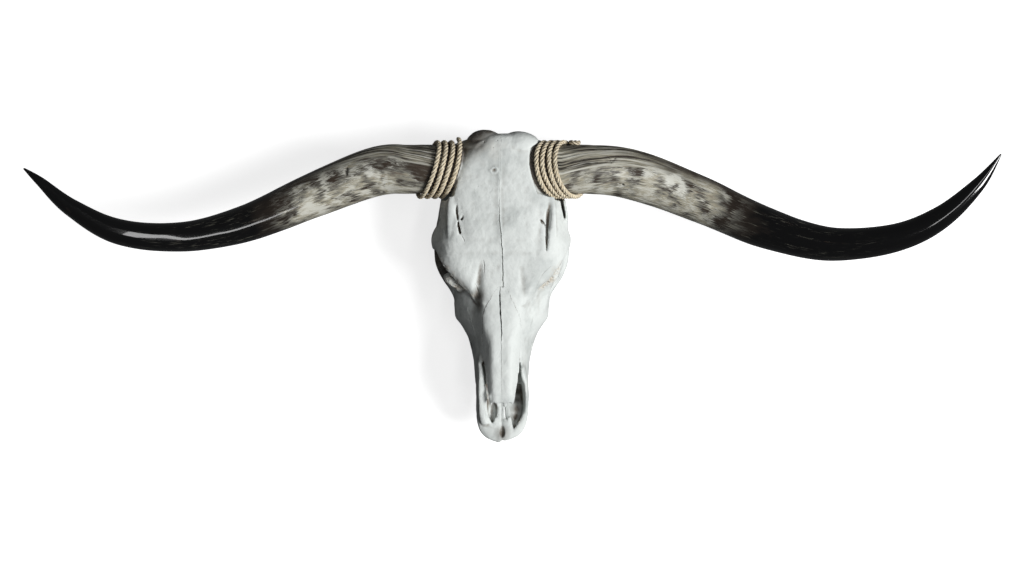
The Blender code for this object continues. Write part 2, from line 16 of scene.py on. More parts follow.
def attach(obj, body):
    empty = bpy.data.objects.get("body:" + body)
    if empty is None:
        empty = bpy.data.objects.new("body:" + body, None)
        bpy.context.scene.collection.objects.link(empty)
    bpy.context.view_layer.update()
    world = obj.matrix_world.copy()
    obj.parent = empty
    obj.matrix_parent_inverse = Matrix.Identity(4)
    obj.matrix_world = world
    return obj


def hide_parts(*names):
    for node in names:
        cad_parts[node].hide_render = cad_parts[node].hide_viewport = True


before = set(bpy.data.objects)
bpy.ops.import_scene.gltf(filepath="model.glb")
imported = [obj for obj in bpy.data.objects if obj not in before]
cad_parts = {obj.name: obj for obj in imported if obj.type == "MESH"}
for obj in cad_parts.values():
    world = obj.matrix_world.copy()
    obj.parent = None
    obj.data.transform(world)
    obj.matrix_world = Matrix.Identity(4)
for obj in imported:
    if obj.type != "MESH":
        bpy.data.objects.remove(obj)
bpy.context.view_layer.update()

# ==================================================================== the bones
# The skull of a grown steer without its lower jaw: boiled, bleached and brushed with a thin white wash, so
# the bone is chalky and matt. It lies on its last cheek teeth and on the two processes beside the neck.
# The nasal and incisive bones have shrunk apart along their joints, and stand loose in the rest.

MM = 0.001
# The muzzle lies lower than the poll by this many degrees.
REST_TILT = 3.0
# Where the zero point of the skull's frame comes to lie, in metres.
REST_PLACE = (-0.018138, 0.256931, 0.1845)
LIE = Matrix.Translation(REST_PLACE) @ Matrix.Rotation(math.radians(REST_TILT), 4, "X")

# Places along the skull: the front of the muzzle, and both ends of the nasal bones.
SKULL_LENGTH = 534.0
NASAL_BACK = 267.0
NASAL_TIP = 466.0
# The straight roots of both horns lie round one line across the skull.
HORN_AXIS_ALONG = 65.0
HORN_AXIS_UP = -45.0
BONE_VOXEL = 1.5


def at(side, along, up):
    """A point of the skull's frame, in metres."""
    return Vector((side, -along, up)) * MM


def circle(count):
    """Even turns round a circle."""
    return [2 * math.pi * i / count for i in range(count)]


def curve_value(p, q, r, s, t):
    """Catmull-Rom between q and r."""
    return 0.5 * (2 * q + (r - p) * t + (2 * p - 5 * q + 4 * r - s) * t**2 + (3 * q - p - 3 * r + s) * t**3)


def smooth_path(stations, steps):
    """Rows of numbers read along a smooth curve through the stations, steps to each span."""
    rows = [stations[0], *stations, stations[-1]]
    path = []
    for a, b, c, d in zip(rows, rows[1:], rows[2:], rows[3:]):
        for i in range(steps):
            path.append([curve_value(p, q, r, s, i / steps) for p, q, r, s in zip(a, b, c, d)])
    path.append(list(stations[-1]))
    return path


def mirrored(stations, side):
    """Stations for the left (-1) or right (1) half, given for the right."""
    return [(row[0] * side, *row[1:]) for row in stations]


def way_at(points, i):
    """The direction of a line of points at one of them."""
    return (points[min(i + 1, len(points) - 1)] - points[max(i - 1, 0)]).normalized()


def join_rings(bm, loops):
    """The faces between each ring of points and the next."""
    faces = []
    for a, b in zip(loops, loops[1:]):
        for i in range(len(a)):
            j = (i + 1) % len(a)
            faces.append(bm.faces.new((a[i], a[j], b[j], b[i])))
    return faces


def add_loft(bm, rings):
    """A closed body through rings of equal count."""
    loops = [[bm.verts.new(p) for p in ring] for ring in rings]
    ends = [bm.faces.new(loops[0]), bm.faces.new(loops[-1])]
    bmesh.ops.recalc_face_normals(bm, faces=ends + join_rings(bm, loops))


def add_ball(bm, centre, radii, lean=0):
    """An ellipsoid with half-sizes side, along and up, leaning by degrees about the skull's long axis."""
    spin = Matrix.Rotation(math.radians(lean), 4, "Y")
    size = Matrix.Diagonal((*(r * MM for r in radii), 1))
    place = Matrix.Translation(at(*centre))
    bmesh.ops.create_uvsphere(bm, u_segments=28, v_segments=18, radius=1, matrix=place @ spin @ size)


# How a bar closes: push along its way as a share of its half-size, and share of the section left.
ROUND_END = [(0.4, 0.92), (0.75, 0.66), (0.97, 0.25)]


def add_limb(bm, stations, broad=(0, 0, 1), steps=6, segments=24):
    """A tapering bar with round ends. A station is side, along, up, half-size along broad and across it."""
    path = smooth_path(stations, steps)
    points = [at(*row[:3]) for row in path]
    broad = Vector(broad)
    last = len(path) - 1
    rings = []
    for i, row in enumerate(path):
        way = way_at(points, i)
        tall = (broad - way * way.dot(broad)).normalized()
        wide = way.cross(tall)
        a, b = row[3] * MM, row[4] * MM
        ring = [tall * a * math.cos(q) + wide * b * math.sin(q) for q in circle(segments)]
        ends = [(0.0, 1.0)]
        if i == 0:
            ends = [(-push, share) for push, share in reversed(ROUND_END)] + ends
        if i == last:
            ends = ends + ROUND_END
        for push, share in ends:
            middle = points[i] + way * push * min(a, b)
            rings.append([middle + offset * share for offset in ring])
    add_loft(bm, rings)


def closed_ring(outline, along, steps=5):
    """A smooth closed ring through (side, up) points at one distance along."""
    wrapped = [outline[-1], *outline, outline[0], outline[1]]
    ring = []
    for a, b, c, d in zip(wrapped, wrapped[1:], wrapped[2:], wrapped[3:]):
        for i in range(steps):
            side, up = (curve_value(p, q, r, s, i / steps) for p, q, r, s in zip(a, b, c, d))
            ring.append(at(side, along, up))
    return ring


def half_ring(points, along):
    """A closed ring from a right-hand outline, listed from the top of the midline to its bottom."""
    return closed_ring(points + [(-s, u) for s, u in reversed(points[1:-1])], along)


def forehead(bm):
    """The flat frontal plate, from the poll to the front of the eye sockets, and the necks of the horns."""
    # along, half-width, up at the midline, up at the edge, fall of the left and of the right shoulder
    stations = [
        (5, 42, -17, -48, 12, 4), (10, 53, -8, -50, 16, 2), (19, 62, -4, -50, 13, 2),
        (30, 68, -2, -46, 8, 3), (46, 77, 0, -36, 4, 1), (62, 83, 1, -29, 1, 0),
        (80, 88, 0, -22, 1.5, 0), (98, 92, 0, -20, 0, 0), (125, 104, 0, -36, 0, 0),
        (152, 107, 0, -42, 0, 0), (176, 113, 0, -45, 0, 0), (188, 118, -1, -46, 0, 0),
        (200, 114, -1, -39, 0, 0), (210, 110, -2, -31, 0, 0), (220, 105, -2, -24, 0, 0),
        (234, 96, -4, -20, 0, 0), (246, 87, -5, -19, 0, 0), (258, 76, -5, -20, 0, 0),
        (269, 65, -6, -21, 0, 0), (283, 52, -7, -24, 0, 0), (297, 44, -7, -28, 0, 0),
    ]
    rings = []
    for along, half, crown, edge, *falls in smooth_path(stations, 4):
        flanks = {}
        for side, fall in zip((-1, 1), falls):
            flanks[side] = [
                (side * half * 0.40, crown - 1 - fall * 0.15),
                (side * half * 0.78, crown * 0.7 + edge * 0.2 - fall), (side * half, edge),
                (side * half * 0.94, edge - 11), (side * half * 0.6, min(edge - 14, -44)),
            ]
        outline = [(0, crown), *flanks[1], (0, -50), *reversed(flanks[-1])]
        rings.append(closed_ring(outline, along))
    add_loft(bm, rings)
    # The two low swellings of the poll.
    add_ball(bm, (-30, 20, -32.5), (34, 23, 19), lean=-27)
    add_ball(bm, (30, 26, -30), (37, 26, 29))
    for side in (-1, 1):
        # The ridge that runs from the horn to the eye socket, and the neck of bone inside the horn.
        ridge = [
            (82, 108, -12, 4, 7), (84, 130, -11, 5, 9), (85, 165, -12, 5, 9), (82, 195, -13, 4.5, 9),
            (70, 226, -13, 4, 8),
        ]
        add_limb(bm, mirrored(ridge, side))
        neck = [
            (56, HORN_AXIS_ALONG, -54, 29, 31), (84, HORN_AXIS_ALONG, -45.5, 41, 42),
            (150, HORN_AXIS_ALONG, HORN_AXIS_UP, 43, 43),
        ]
        add_limb(bm, mirrored(neck, side), segments=40)
    # On the right the bone over the eye reaches further out, and hides the socket from above.
    flare = [
        (88, 190, -42, 8, 10), (92, 206, -36, 9, 14), (90, 224, -35, 9, 15), (83, 246, -37, 9, 14),
        (73, 264, -44, 8, 12),
    ]
    add_limb(bm, flare)
    # In front of it the cheek slopes down evenly.
    slope = [
        (80, 242, -45, 9, 12), (74, 264, -49, 10, 14), (69, 284, -56, 10, 16), (66, 302, -64, 10, 15),
    ]
    add_limb(bm, slope)
    # Outside the brow ridge a thin bar runs back from it, with a narrow gap between.
    outer_bar = [
        (103, 104, -54, 12, 3.5), (108, 126, -51, 14, 4), (111, 150, -52, 15, 4), (110, 176, -56, 12, 3.5),
    ]
    add_limb(bm, outer_bar)
    add_limb(bm, [(96, 104, -76, 9, 8), (104, 128, -76, 10, 8), (106, 158, -76, 10, 8)])


def face(bm):
    """The snout from the eye sockets to the front edge of the cheek bones."""
    # along, roof, brow side and up, shoulder side and up, flank side and up, gum side and up, palate
    stations = [
        (240, -6, 36, -8, 60, -31, 66, -74, 52, -128, -122),
        (262, -6, 31, -8, 58, -32, 78, -72, 64, -146, -130),
        (290, -6, 29, -9, 52, -34, 83, -80, 66, -140, -128),
        (306, -5, 29, -9, 48, -33, 82, -84, 65, -136, -124),
        (320, -5, 29, -9, 45, -32, 80, -85, 64, -132, -121),
        (332, -5, 27, -9, 42, -31, 71, -84, 61, -128, -118),
        (345, -5, 23, -8, 38, -30, 62, -80, 57, -122, -113),
        (360, -6, 18, -8, 34, -29, 54, -78, 53, -118, -110),
        (392, -8, 14, -10, 31, -31, 47, -72, 45, -107, -101),
        (418, -9, 14, -12, 30, -36, 45, -66, 42, -96, -93),
        (436, -26, 16, -36, 29, -50, 44, -66, 40, -90, -88),
    ]
    rings = []
    for along, roof, *outline, palate in smooth_path(stations, 5):
        sides = list(zip(outline[0::2], outline[1::2]))
        rings.append(half_ring([(0, roof), *sides, (0, palate)], along))
    add_loft(bm, rings)
    for side in (-1, 1):
        gum = [
            (58, 258, -140, 20, 12), (58, 300, -134, 18, 11), (51, 350, -120, 15, 8), (44, 392, -106, 11, 6),
        ]
        add_limb(bm, mirrored(gum, side))


def nasal_roof(bm):
    """The two long bones over the nose: a narrow roof with steep flanks, each ending in two points."""
    # along, roof, eave side and up, foot side and up
    stations = [
        (285, -7, 21, -9, 30, -16), (320, -6, 21, -8, 32, -19), (345, -6, 19, -8, 31.5, -24),
        (370, -7, 17.5, -8, 30.5, -28), (400, -8, 17, -9, 29.5, -30), (425, -10, 16.5, -11, 28.5, -31),
        (440, -11, 16, -12, 27, -30), (465, -13, 15, -14.5, 25, -28),
    ]
    rings = []
    for along, roof, eave, eave_up, foot, foot_up in smooth_path(stations, 4):
        outline = [(0, roof), (eave, eave_up), (foot, foot_up), (foot * 0.8, foot_up - 5), (0, roof - 9)]
        rings.append(half_ring(outline, along))
    add_loft(bm, rings)
    for side in (-1, 1):
        add_limb(bm, mirrored([(7, 454, -16, 3.6, 6.5), (5.5, NASAL_TIP + 6, -18, 2.2, 3.2)], side))
        add_limb(bm, mirrored([(18, 454, -20, 5, 5.5), (19, NASAL_TIP + 2, -22, 2.6, 2.8)], side))


# The incisive bones seen from above: the left one turns its inner face up, the right one stands on edge.
# Stations of side, along, up, half-height, half-width.
MUZZLE_PADS = {
    -1: [(37, 414, -91, 8, 8), (36, 446, -85, 7, 9), (34.5, 480, -78, 6, 9.5), (32.5, 498, -75, 6, 11),
         (27.5, 512, -72.5, 5.5, 12), (18, 521, -71.5, 5.5, 12.5), (2, 526, -71, 5.2, 13)],
    1: [(38, 414, -91, 8, 8), (41, 446, -85, 6.5, 6), (41, 480, -78, 5.5, 5), (37.5, 498, -75, 5.5, 6.5),
        (30, 510, -72.5, 5.5, 10), (19, 518, -71.5, 5.5, 12), (2, 523, -71, 5.2, 13)],
}
MUZZLE_BLADES = {
    -1: [(38.5, 398, -60, 30, 5), (39, 430, -60, 29, 4.5), (39.5, 455, -62, 25, 4.5), (39, 480, -69, 15, 5),
         (36, 497, -75, 7, 6)],
    1: [(42.5, 488, -76, 4.5, 3.6), (42.5, 470, -71, 10, 4), (42, 450, -63, 20, 5), (39.5, 430, -56, 28, 6),
        (36.5, 419, -52, 27, 7), (34, 406, -50, 25, 6)],
}
# The left bone's inner face is turned up to the light, beside the slot.
LEFT_FACE = [(35, 388, -42, 5, 4), (34.5, 408, -34, 6, 4), (32, 434, -32, 9, 4.5), (30, 462, -37, 11, 5),
             (30, 486, -52, 10, 6), (29, 500, -66, 9, 6)]
LEFT_FACE_LEAN = (-0.88, 0, 0.47)
# The bars beside the middle of the muzzle's floor.
MUZZLE_BARS = {
    -1: [(6, 516, -72, 5, 6), (4.6, 484, -78, 4.5, 4.4), (5, 430, -88, 5, 5)],
    1: [(5, 516, -73, 5, 4), (3.2, 484, -78, 4, 2.3), (5, 430, -88, 5, 5)],
}


def muzzle(bm):
    """The incisive bones: a flat toothless pad, and a blade that climbs beside the nose."""
    for side in (-1, 1):
        add_limb(bm, mirrored(MUZZLE_PADS[side], side))
        add_ball(bm, (side * 15, SKULL_LENGTH - 25, -72), (16, 16, 4.5))
        add_limb(bm, mirrored(MUZZLE_BLADES[side], side))
        add_limb(bm, mirrored(MUZZLE_BARS[side], side))
        # The thin floor round the two long openings.
        add_limb(bm, mirrored([(22, 410, -96, 5, 20), (23, 448, -92, 4, 21), (19, 514, -83, 4, 12)], side))
    add_limb(bm, mirrored(LEFT_FACE, -1), broad=LEFT_FACE_LEAN)
    # The thin bar between the two openings on the right.
    between = [
        (17, 508, -76, 2, 1.6), (13, 499, -76, 1.8, 1.3), (12.5, 476, -78, 1.8, 1.3), (10, 440, -86, 2, 2),
    ]
    add_limb(bm, between)


def braincase(bm):
    """The narrow box between the temples, and the bar under it that runs back to the neck."""
    core = [
        (0, 64, -84, 46, 58), (0, 95, -86, 54, 62), (0, 140, -84, 52, 57), (0, 185, -80, 50, 46),
        (0, 235, -78, 52, 46), (0, 285, -76, 50, 54),
    ]
    add_limb(bm, core, segments=40)
    base = [(0, 215, -112, 18, 22), (0, 150, -128, 13, 18), (0, 95, -138, 12, 17), (0, 45, -142, 14, 26)]
    add_limb(bm, base)
    for side in (-1, 1):
        # Knobs where the neck muscles were, and the ridge under the eye's nerve holes.
        add_ball(bm, (side * 11, 100, -147), (7, 13, 6))
        add_limb(bm, mirrored([(30, 110, -124, 6, 5), (36, 160, -116, 6, 5), (38, 205, -106, 8, 6)], side))


def nape(bm):
    """The back of the head: the broad neck plate, its condyles, and the processes that reach the ground."""
    # up, half-width, along, half-thickness
    stations = [
        (-10, 44, 28, 14), (-30, 66, 27, 17), (-60, 78, 25, 17), (-85, 93, 26, 17), (-106, 95, 31, 16),
        (-124, 78, 34, 16), (-142, 42, 34, 17),
    ]
    rings = []
    for up, half, along, thick in smooth_path(stations, 4):
        rings.append([at(half * math.cos(q), along + thick * math.sin(q), up) for q in circle(40)])
    add_loft(bm, rings)
    add_ball(bm, (0, 14, -58), (16, 8, 20))
    add_limb(bm, [(0, 12, -70, 3, 4), (0, 10, -95, 3, 3)], broad=(0, 1, 0))
    for side in (-1, 1):
        crest = [(12, 12, -52, 4, 3), (38, 12, -44, 4, 3), (62, 16, -60, 4, 3.5), (84, 22, -88, 4, 4)]
        add_limb(bm, mirrored(crest, side), broad=(0, 1, 0))
        add_ball(bm, (side * 27, 22, -143), (16, 21, 24), lean=side * 18)
        hook = [
            (60, 40, -112, 19, 12), (63, 43, -138, 16, 9), (62, 46, -160, 13, 8), (59, 49, -177, 10, 7.5),
        ]
        add_limb(bm, mirrored(hook, side), broad=(0, 1, 0))
        add_ball(bm, (side * 38, 86, -140), (13, 19, 18))
        add_limb(bm, mirrored([(60, 80, -112, 10, 10), (83, 74, -112, 7.5, 7.5)], side))
        add_limb(bm, mirrored([(38, 98, -144, 4, 5), (34, 112, -158, 2.5, 3)], side), broad=(1, 0, 0))


# How far from the midline the outer corner of each brow stands.
BROW_CORNER = {-1: 98, 1: 96}


def cheek(bm, side):
    """The zygomatic arch, the rim of the eye socket and the bar behind it."""
    arch = [
        (84, 38, -102, 14, 9), (86, 72, -107, 11, 10), (93, 98, -106, 10, 11), (102, 126, -104, 10, 7),
        (109, 158, -101, 10, 5.5), (112, 190, -98, 11, 6.5), (110, 220, -100, 12, 7), (99, 246, -99, 15, 8),
        (79, 276, -95, 18, 9), (69, 306, -90, 17, 10),
    ]
    add_limb(bm, mirrored(arch, side))
    add_ball(bm, (side * 84, 100, -112), (21, 15, 8))
    # The outer corner of the brow stands out beyond the rim.
    add_ball(bm, (side * BROW_CORNER[side], 186, -54), (24, 34, 16))
    rim = [
        (62, 262, -42, 7, 8), (74, 247, -41, 6, 6), (85, 232, -40, 6, 6), (95, 217, -41, 6, 6),
        (104, 203, -46, 7, 8), (109, 190, -54, 7, 8), (110, 188, -68, 7, 9), (110, 194, -86, 8, 9),
        (108, 215, -95, 8, 8), (97, 240, -86, 8, 8), (88, 254, -66, 9, 9), (76, 266, -52, 9, 9),
        (62, 262, -42, 7, 8),
    ]
    add_limb(bm, mirrored(rim, side), broad=(1, 0, 0), steps=5)
    if side < 0:
        # The broken front corner of the left socket stands up beside the plate, in the light.
        corner = [(-98, 242, -62, 5, 6), (-91, 251, -42, 6, 9), (-83, 260, -38, 6, 9), (-75, 269, -43, 5, 6)]
        add_limb(bm, corner)


def throat(bm, side):
    """The thin plates that hang behind the palate, with their hooks."""
    plate = [
        (28, 270, -128, 16, 7), (23, 240, -132, 20, 5), (20, 210, -128, 20, 4.5), (21, 194, -138, 10, 4.5),
    ]
    add_limb(bm, mirrored(plate, side))
    add_limb(bm, mirrored([(21, 202, -140, 7, 4.5), (22, 194, -155, 5, 4)], side), broad=(0, 1, 0))


def eye_socket(bm, side):
    """The orbit, its flared mouth, and the gap that leads back to the temple."""
    add_ball(bm, (side * 80, 224, -62), (38, 28, 26))
    add_limb(bm, mirrored([(80, 225, -62, 24, 25), (112, 226, -62, 26, 27), (145, 234, -60, 34, 36)], side))
    add_limb(bm, mirrored([(84, 220, -66, 22, 22), (78, 178, -72, 20, 18), (86, 140, -74, 24, 16)], side))


# Where each nose slot lies beside the nasal bones: side, along, half-width. The right one gapes wider.
NOSE_SLOT = {
    -1: [(32.6, 394, 2.0), (30.3, 410, 2.3), (26.2, 440, 2.3), (22.2, 465, 2.5), (20.5, 490, 4)],
    1: [(31.8, 377, 1.5), (31.6, 402, 1.5), (31.6, 416, 1.8), (31.4, 428, 3.6), (30.9, 440, 5.8),
        (31.4, 455, 7.9), (29, 478, 10), (27, 495, 9)],
}
NOSE_PASSAGE = {
    -1: [(16.5, 318, -62, 20, 11), (16.5, 350, -62, 28, 13.5), (16, 395, -61, 28, 14),
         (15.5, 430, -58, 27, 13.5), (15.5, 470, -50, 26, 13.5), (16, 520, -40, 24, 15)],
    1: [(18, 318, -62, 20, 12), (18, 350, -62, 28, 15), (18, 395, -61, 28, 16), (18, 430, -58, 28, 16.5),
        (18.5, 470, -49, 27, 18.5), (19, 520, -38, 28, 20)],
}
# The long openings in the muzzle's floor.
FLOOR_OPENINGS = {
    -1: [[(17, 475, -76, 10, 7.4), (17, 490, -75, 10, 6.8), (16.5, 502, -74, 9, 2.4)]],
    1: [[(27, 464, -75, 11, 12), (26, 484, -74, 11, 11.5), (23, 504, -73, 9, 5.5), (21, 511, -73, 8, 2.4)],
        [(8.2, 476, -78, 9, 2.2), (8.6, 500, -76, 9, 1.8)]],
}
# The pocket between the two bones at the front of the muzzle.
FRONT_POCKET = [
    (0.4, 505, -62, 10, 2.0), (0.6, 513, -62, 11, 5), (0.8, 521, -62, 11.2, 5.6), (0.6, 528, -62, 9.5, 2.6),
]


def nose_cavity(bm):
    """The nose passages, the slots beside the nasal bones and the long openings in the muzzle's floor."""
    for side in (-1, 1):
        add_limb(bm, mirrored(NOSE_PASSAGE[side], side))
        slot = [(across, along, -24, 27, wide) for across, along, wide in NOSE_SLOT[side]]
        add_limb(bm, mirrored(slot, side))
        for opening in FLOOR_OPENINGS[side]:
            add_limb(bm, mirrored(opening, side))
    # The middle of the nose, in front of and above both passages.
    middle = [(0, 350, -46, 20, 10), (0, 400, -42, 20, 10), (0, 457, -40, 21, 10), (0, 520, -36, 24, 10)]
    add_limb(bm, middle)
    add_limb(bm, FRONT_POCKET)


def throat_opening(bm):
    """The way from the back of the palate up into the nose."""
    add_limb(bm, [(0, 262, -122, 13, 15), (0, 230, -138, 22, 16), (0, 196, -150, 20, 15)])


def skull_openings(bm):
    """The spinal opening, ear canals and the nerve holes of the cheeks."""
    add_limb(bm, [(0, -20, -121, 17, 18), (0, 50, -112, 16, 17), (0, 90, -100, 24, 26)])
    for side in (-1, 1):
        add_limb(bm, mirrored([(64, 78, -113, 4, 4), (94, 73, -113, 4.5, 4.5)], side))
        add_limb(bm, mirrored([(44, 350, -82, 4, 3), (54, 376, -82, 5.5, 3.6)], side))


def brow_grooves(bm):
    """The long grooves inside the brow ridges, each with a nerve hole that sinks into the bone."""
    add_limb(bm, [(-77, 128, -3, 5, 1.8), (-76, 141, -6, 9, 2.1), (-74.5, 153, -5, 6, 1.8)])
    add_limb(bm, [(-74, 157, -5, 6, 1.8), (-72, 168, -7, 9, 2.1), (-69, 180, -6, 6, 1.8)])
    right = [
        (80, 128, 2, 4, 1.6), (79, 143, -3, 9, 4.0), (78, 166, -6, 10, 3.2), (77, 193, -6, 8, 1.9),
        (76, 212, -6, 4, 1.0),
    ]
    add_limb(bm, right)
    add_limb(bm, [(-62, 140, 4, 3, 1.2), (-67, 150, -4, 4, 1.8), (-69, 158, -16, 4, 2.2)])
    add_limb(bm, [(65, 151, 3, 3, 1.6), (69, 156, -6, 4.5, 2.2), (72, 162, -16, 4, 2.4)])
    add_limb(bm, [(-52, 168, 2, 2, 1.0), (-53, 170, -6, 1.6, 1.0)])
    # The gap between the brow ridge and the rim outside it, open only on the right.
    gap = [
        (101, 108, -34, 26, 2.2), (105, 128, -34, 30, 3.0), (108, 143, -36, 26, 2.4),
        (109, 157, -36, 18, 1.6),
    ]
    add_limb(bm, gap)


NECK_RADIUS = 39.4
HORN_RADIUS = 42.4
COLLAR_LENGTH = 30.0
ROPE_DIAMETER = 8.3
# The edge of each collar lies in a slanted plane: its distance from the midline is
# middle + front * cos(turn) + muzzle * sin(turn), with the turn counted from the front of the horn.
COLLAR_EDGE = {-1: (83.0, -13.0, 11.0), 1: (73.0, -25.0, 6.0)}
# Distance from the collar's edge out to the first turn of rope.
ROPE_START = {-1: 3.0, 1: 9.5}
# The room left free beside the collar and the first turn, round the rope, and over the horn's surface.
SIDE_PLAY = 0.35
ROPE_PLAY = 1.2
HORN_PLAY = 0.8
# The seat of the horn is cut out to this distance from the midline, past the end of the neck of bone.
SEAT_END = 220.0


def collar_edge(side, turn, offset, radius=HORN_RADIUS):
    """Distance from the midline of the slanted plane at a turn and radius round the horn."""
    middle, front, muzzle_side = COLLAR_EDGE[side]
    lean = (front * math.cos(turn) + muzzle_side * math.sin(turn)) * radius / HORN_RADIUS
    return middle + lean + offset


def horn_point(side, distance, turn, radius):
    """A point at a distance from the midline and a turn round the horn's straight root."""
    along = HORN_AXIS_ALONG + radius * math.sin(turn)
    up = HORN_AXIS_UP + radius * math.cos(turn)
    return at(side * distance, along, up)


def horn_seat(bm, side):
    """What is missing round the neck of bone, where the collar and the rope lie, and all beyond its end."""
    room = HORN_RADIUS + ROPE_DIAMETER + ROPE_PLAY
    rope_edge = ROPE_START[side] - ROPE_DIAMETER * 0.62 - SIDE_PLAY
    start = min(-SIDE_PLAY, rope_edge)
    profile = [
        (NECK_RADIUS, COLLAR_LENGTH), (NECK_RADIUS, start), (HORN_RADIUS + HORN_PLAY, start),
        (room, rope_edge), (room, SEAT_END),
    ]
    rings = []
    for radius, offset in profile:
        ring = []
        for turn in circle(64):
            distance = SEAT_END if offset == SEAT_END else collar_edge(side, turn, offset, radius)
            # On the front of the muzzle side the bone stops at the lashing too, also where it stands higher.
            spare = 9.0 * max(0.0, math.sin(2 * turn)) if radius == room and turn < math.pi / 2 else 0.0
            ring.append(horn_point(side, distance, turn, radius + spare))
        rings.append(ring)
    add_loft(bm, rings)


def fused(name, forms, voxel, rounds):
    """One skin over the forms that the draw functions make."""
    bm = bmesh.new()
    for draw, *given in forms:
        draw(bm, *given)
    obj = new_object(name, bm)
    reskin(obj, voxel, rounds)
    return obj


def new_object(name, bm):
    """An object in the scene with the mesh that was drawn."""
    mesh = bpy.data.meshes.new(name)
    bm.to_mesh(mesh)
    bm.free()
    obj = bpy.data.objects.new(name, mesh)
    bpy.context.scene.collection.objects.link(obj)
    return obj


def reskin(obj, voxel, rounds):
    """Gives an object a new even skin, rounded where its forms meet."""
    remesh = obj.modifiers.new("Skin", "REMESH")
    remesh.mode = "VOXEL"
    remesh.voxel_size = voxel * MM
    soften = obj.modifiers.new("Soften", "SMOOTH")
    soften.factor = 0.5
    soften.iterations = rounds


def carve(obj, cutter, operation="DIFFERENCE"):
    """Cuts an object by another one, or keeps what both share."""
    cut = obj.modifiers.new("Carve", "BOOLEAN")
    cut.object = cutter
    cut.operation = operation
    cut.solver = "EXACT"


def settle(obj):
    """Keeps the mesh that an object's modifiers make, and drops the modifiers."""
    seen = obj.evaluated_get(bpy.context.evaluated_depsgraph_get())
    mesh = bpy.data.meshes.new_from_object(seen)
    obj.modifiers.clear()
    obj.data = mesh


both = (-1, 1)
skull = fused("skull_forms", [
    (forehead,), (face,), (nasal_roof,), (muzzle,), (braincase,), (nape,),
    *((cheek, side) for side in both), *((throat, side) for side in both),
], BONE_VOXEL, 4)
hollows = fused("skull_hollows", [
    (nose_cavity,), (throat_opening,), (skull_openings,), (brow_grooves,),
    *((eye_socket, side) for side in both), *((horn_seat, side) for side in both),
], BONE_VOXEL * 0.8, 2)
carve(skull, hollows)
reskin(skull, BONE_VOXEL, 3)
settle(skull)
bpy.data.objects.remove(hollows)


# Fine cracks and joints seen from the front: side, along, half-width and depth along each course.
FRONTAL_JOINT = [
    (-0.9, 8, 0.5, 0.5), (-2.6, 61, 0.5, 0.4), (-4.3, 105, 0.5, 0.5), (-4.2, 125, 0.6, 0.9),
    (-4.0, 142, 0.8, 2.2), (-2.6, 163, 0.9, 3.0), (0.9, 205, 0.9, 3.2), (2.0, 240, 1.1, 3.6),
    (2.4, 268, 0.9, 3.0),
]
# Soft dips between the forehead and the snout: side, along, reach, depth along each.
DIPS = [
    [(-34, 226, 5, 1), (-37, 245, 6, 4), (-40, 266, 7, 8), (-42, 285, 8, 10.5), (-45, 302, 8, 8),
     (-49, 322, 8, 4), (-50, 345, 8, 1)],
    [(34, 232, 6, 0.5), (37, 255, 7, 2), (40, 285, 8, 3.5), (45, 310, 9, 3), (50, 340, 9, 1)],
    [(-70, 130, 8, 1), (-68, 165, 9, 2.5), (-64, 195, 9, 1)],
    [(66, 140, 9, 1.5), (66, 175, 10, 3), (62, 205, 9, 1)],
    [(83, 122, 4, 1), (81, 140, 4.5, 4.5), (79, 165, 4.5, 4), (77, 195, 4, 1.5)],
]
CREASES = [
    FRONTAL_JOINT,
    [(-31, 222, 0.6, 0.6), (-29.8, 232, 1.1, 1.2), (-29.5, 246, 0.5, 0.6)],
    [(-45, 262, 0.7, 0.8), (-41, 270, 1.2, 1.6), (-38, 281, 0.6, 0.6)],
    [(-68, 180, 1.0, 1.2), (-65, 186, 1.1, 1.0), (-63, 191, 0.6, 0.5)],
    [(-99, 168, 0.6, 0.5), (-97, 175, 0.9, 0.8), (-98, 182, 0.5, 0.5)],
    [(84, 232, 0.5, 0.4), (70, 246, 0.8, 0.6), (60, 268, 0.6, 0.5), (57, 286, 0.4, 0.3)],
    [(60, 306, 0.4, 0.2), (50, 330, 0.5, 0.4), (47, 362, 0.5, 0.4), (44, 390, 0.4, 0.2)],
    [(-60, 300, 0.4, 0.4), (-50, 330, 0.6, 0.7), (-47, 362, 0.5, 0.6), (-44, 396, 0.4, 0.4)],
]
# Small holes in the forehead: side, along, radius, depth.
PITS = [
    (-29.8, 20, 1.4, 2.0), (-7.6, 18, 1.2, 1.6), (-14, 30, 0.9, 1.0), (38, 150, 0.8, 0.8),
    (-40, 96, 0.9, 0.9),
]
# Where the bone is broken and spongy: side, along and up of the middle, and reach.
CRUMBLED = [
    # The edge of the left eye socket and its broken corner.
    (-104, 219, -27, 8), (-97, 227, -24, 9), (-90, 235, -22, 9), (-81, 247, -21, 10), (-70, 258, -22, 10),
    (-61, 269, -23, 9), (-50, 281, -25, 8), (-88, 256, -40, 14), (-78, 268, -38, 12),
    # The edge over the right one.
    (92, 222, -28, 10), (88, 238, -28, 14), (80, 254, -30, 14), (70, 266, -33, 9),
    # The muzzle's pads, the base of the skull and the back of the head.
    (30, 500, -74, 6), (-22, 520, -72, 5), (0, 40, -150, 12), (40, 22, -60, 14), (-44, 22, -66, 12),
]
# A healed swirl beside the middle joint: side, along, radius.
SWIRL = (-12.4, 68.0, 6.6)


def drift(along, seed, size):
    """How far a joint strays sideways from its course, in millimetres."""
    return size * (noise.noise((along * 0.12, seed, 0)) + 0.6 * noise.noise((along * 0.41, seed, 7)))


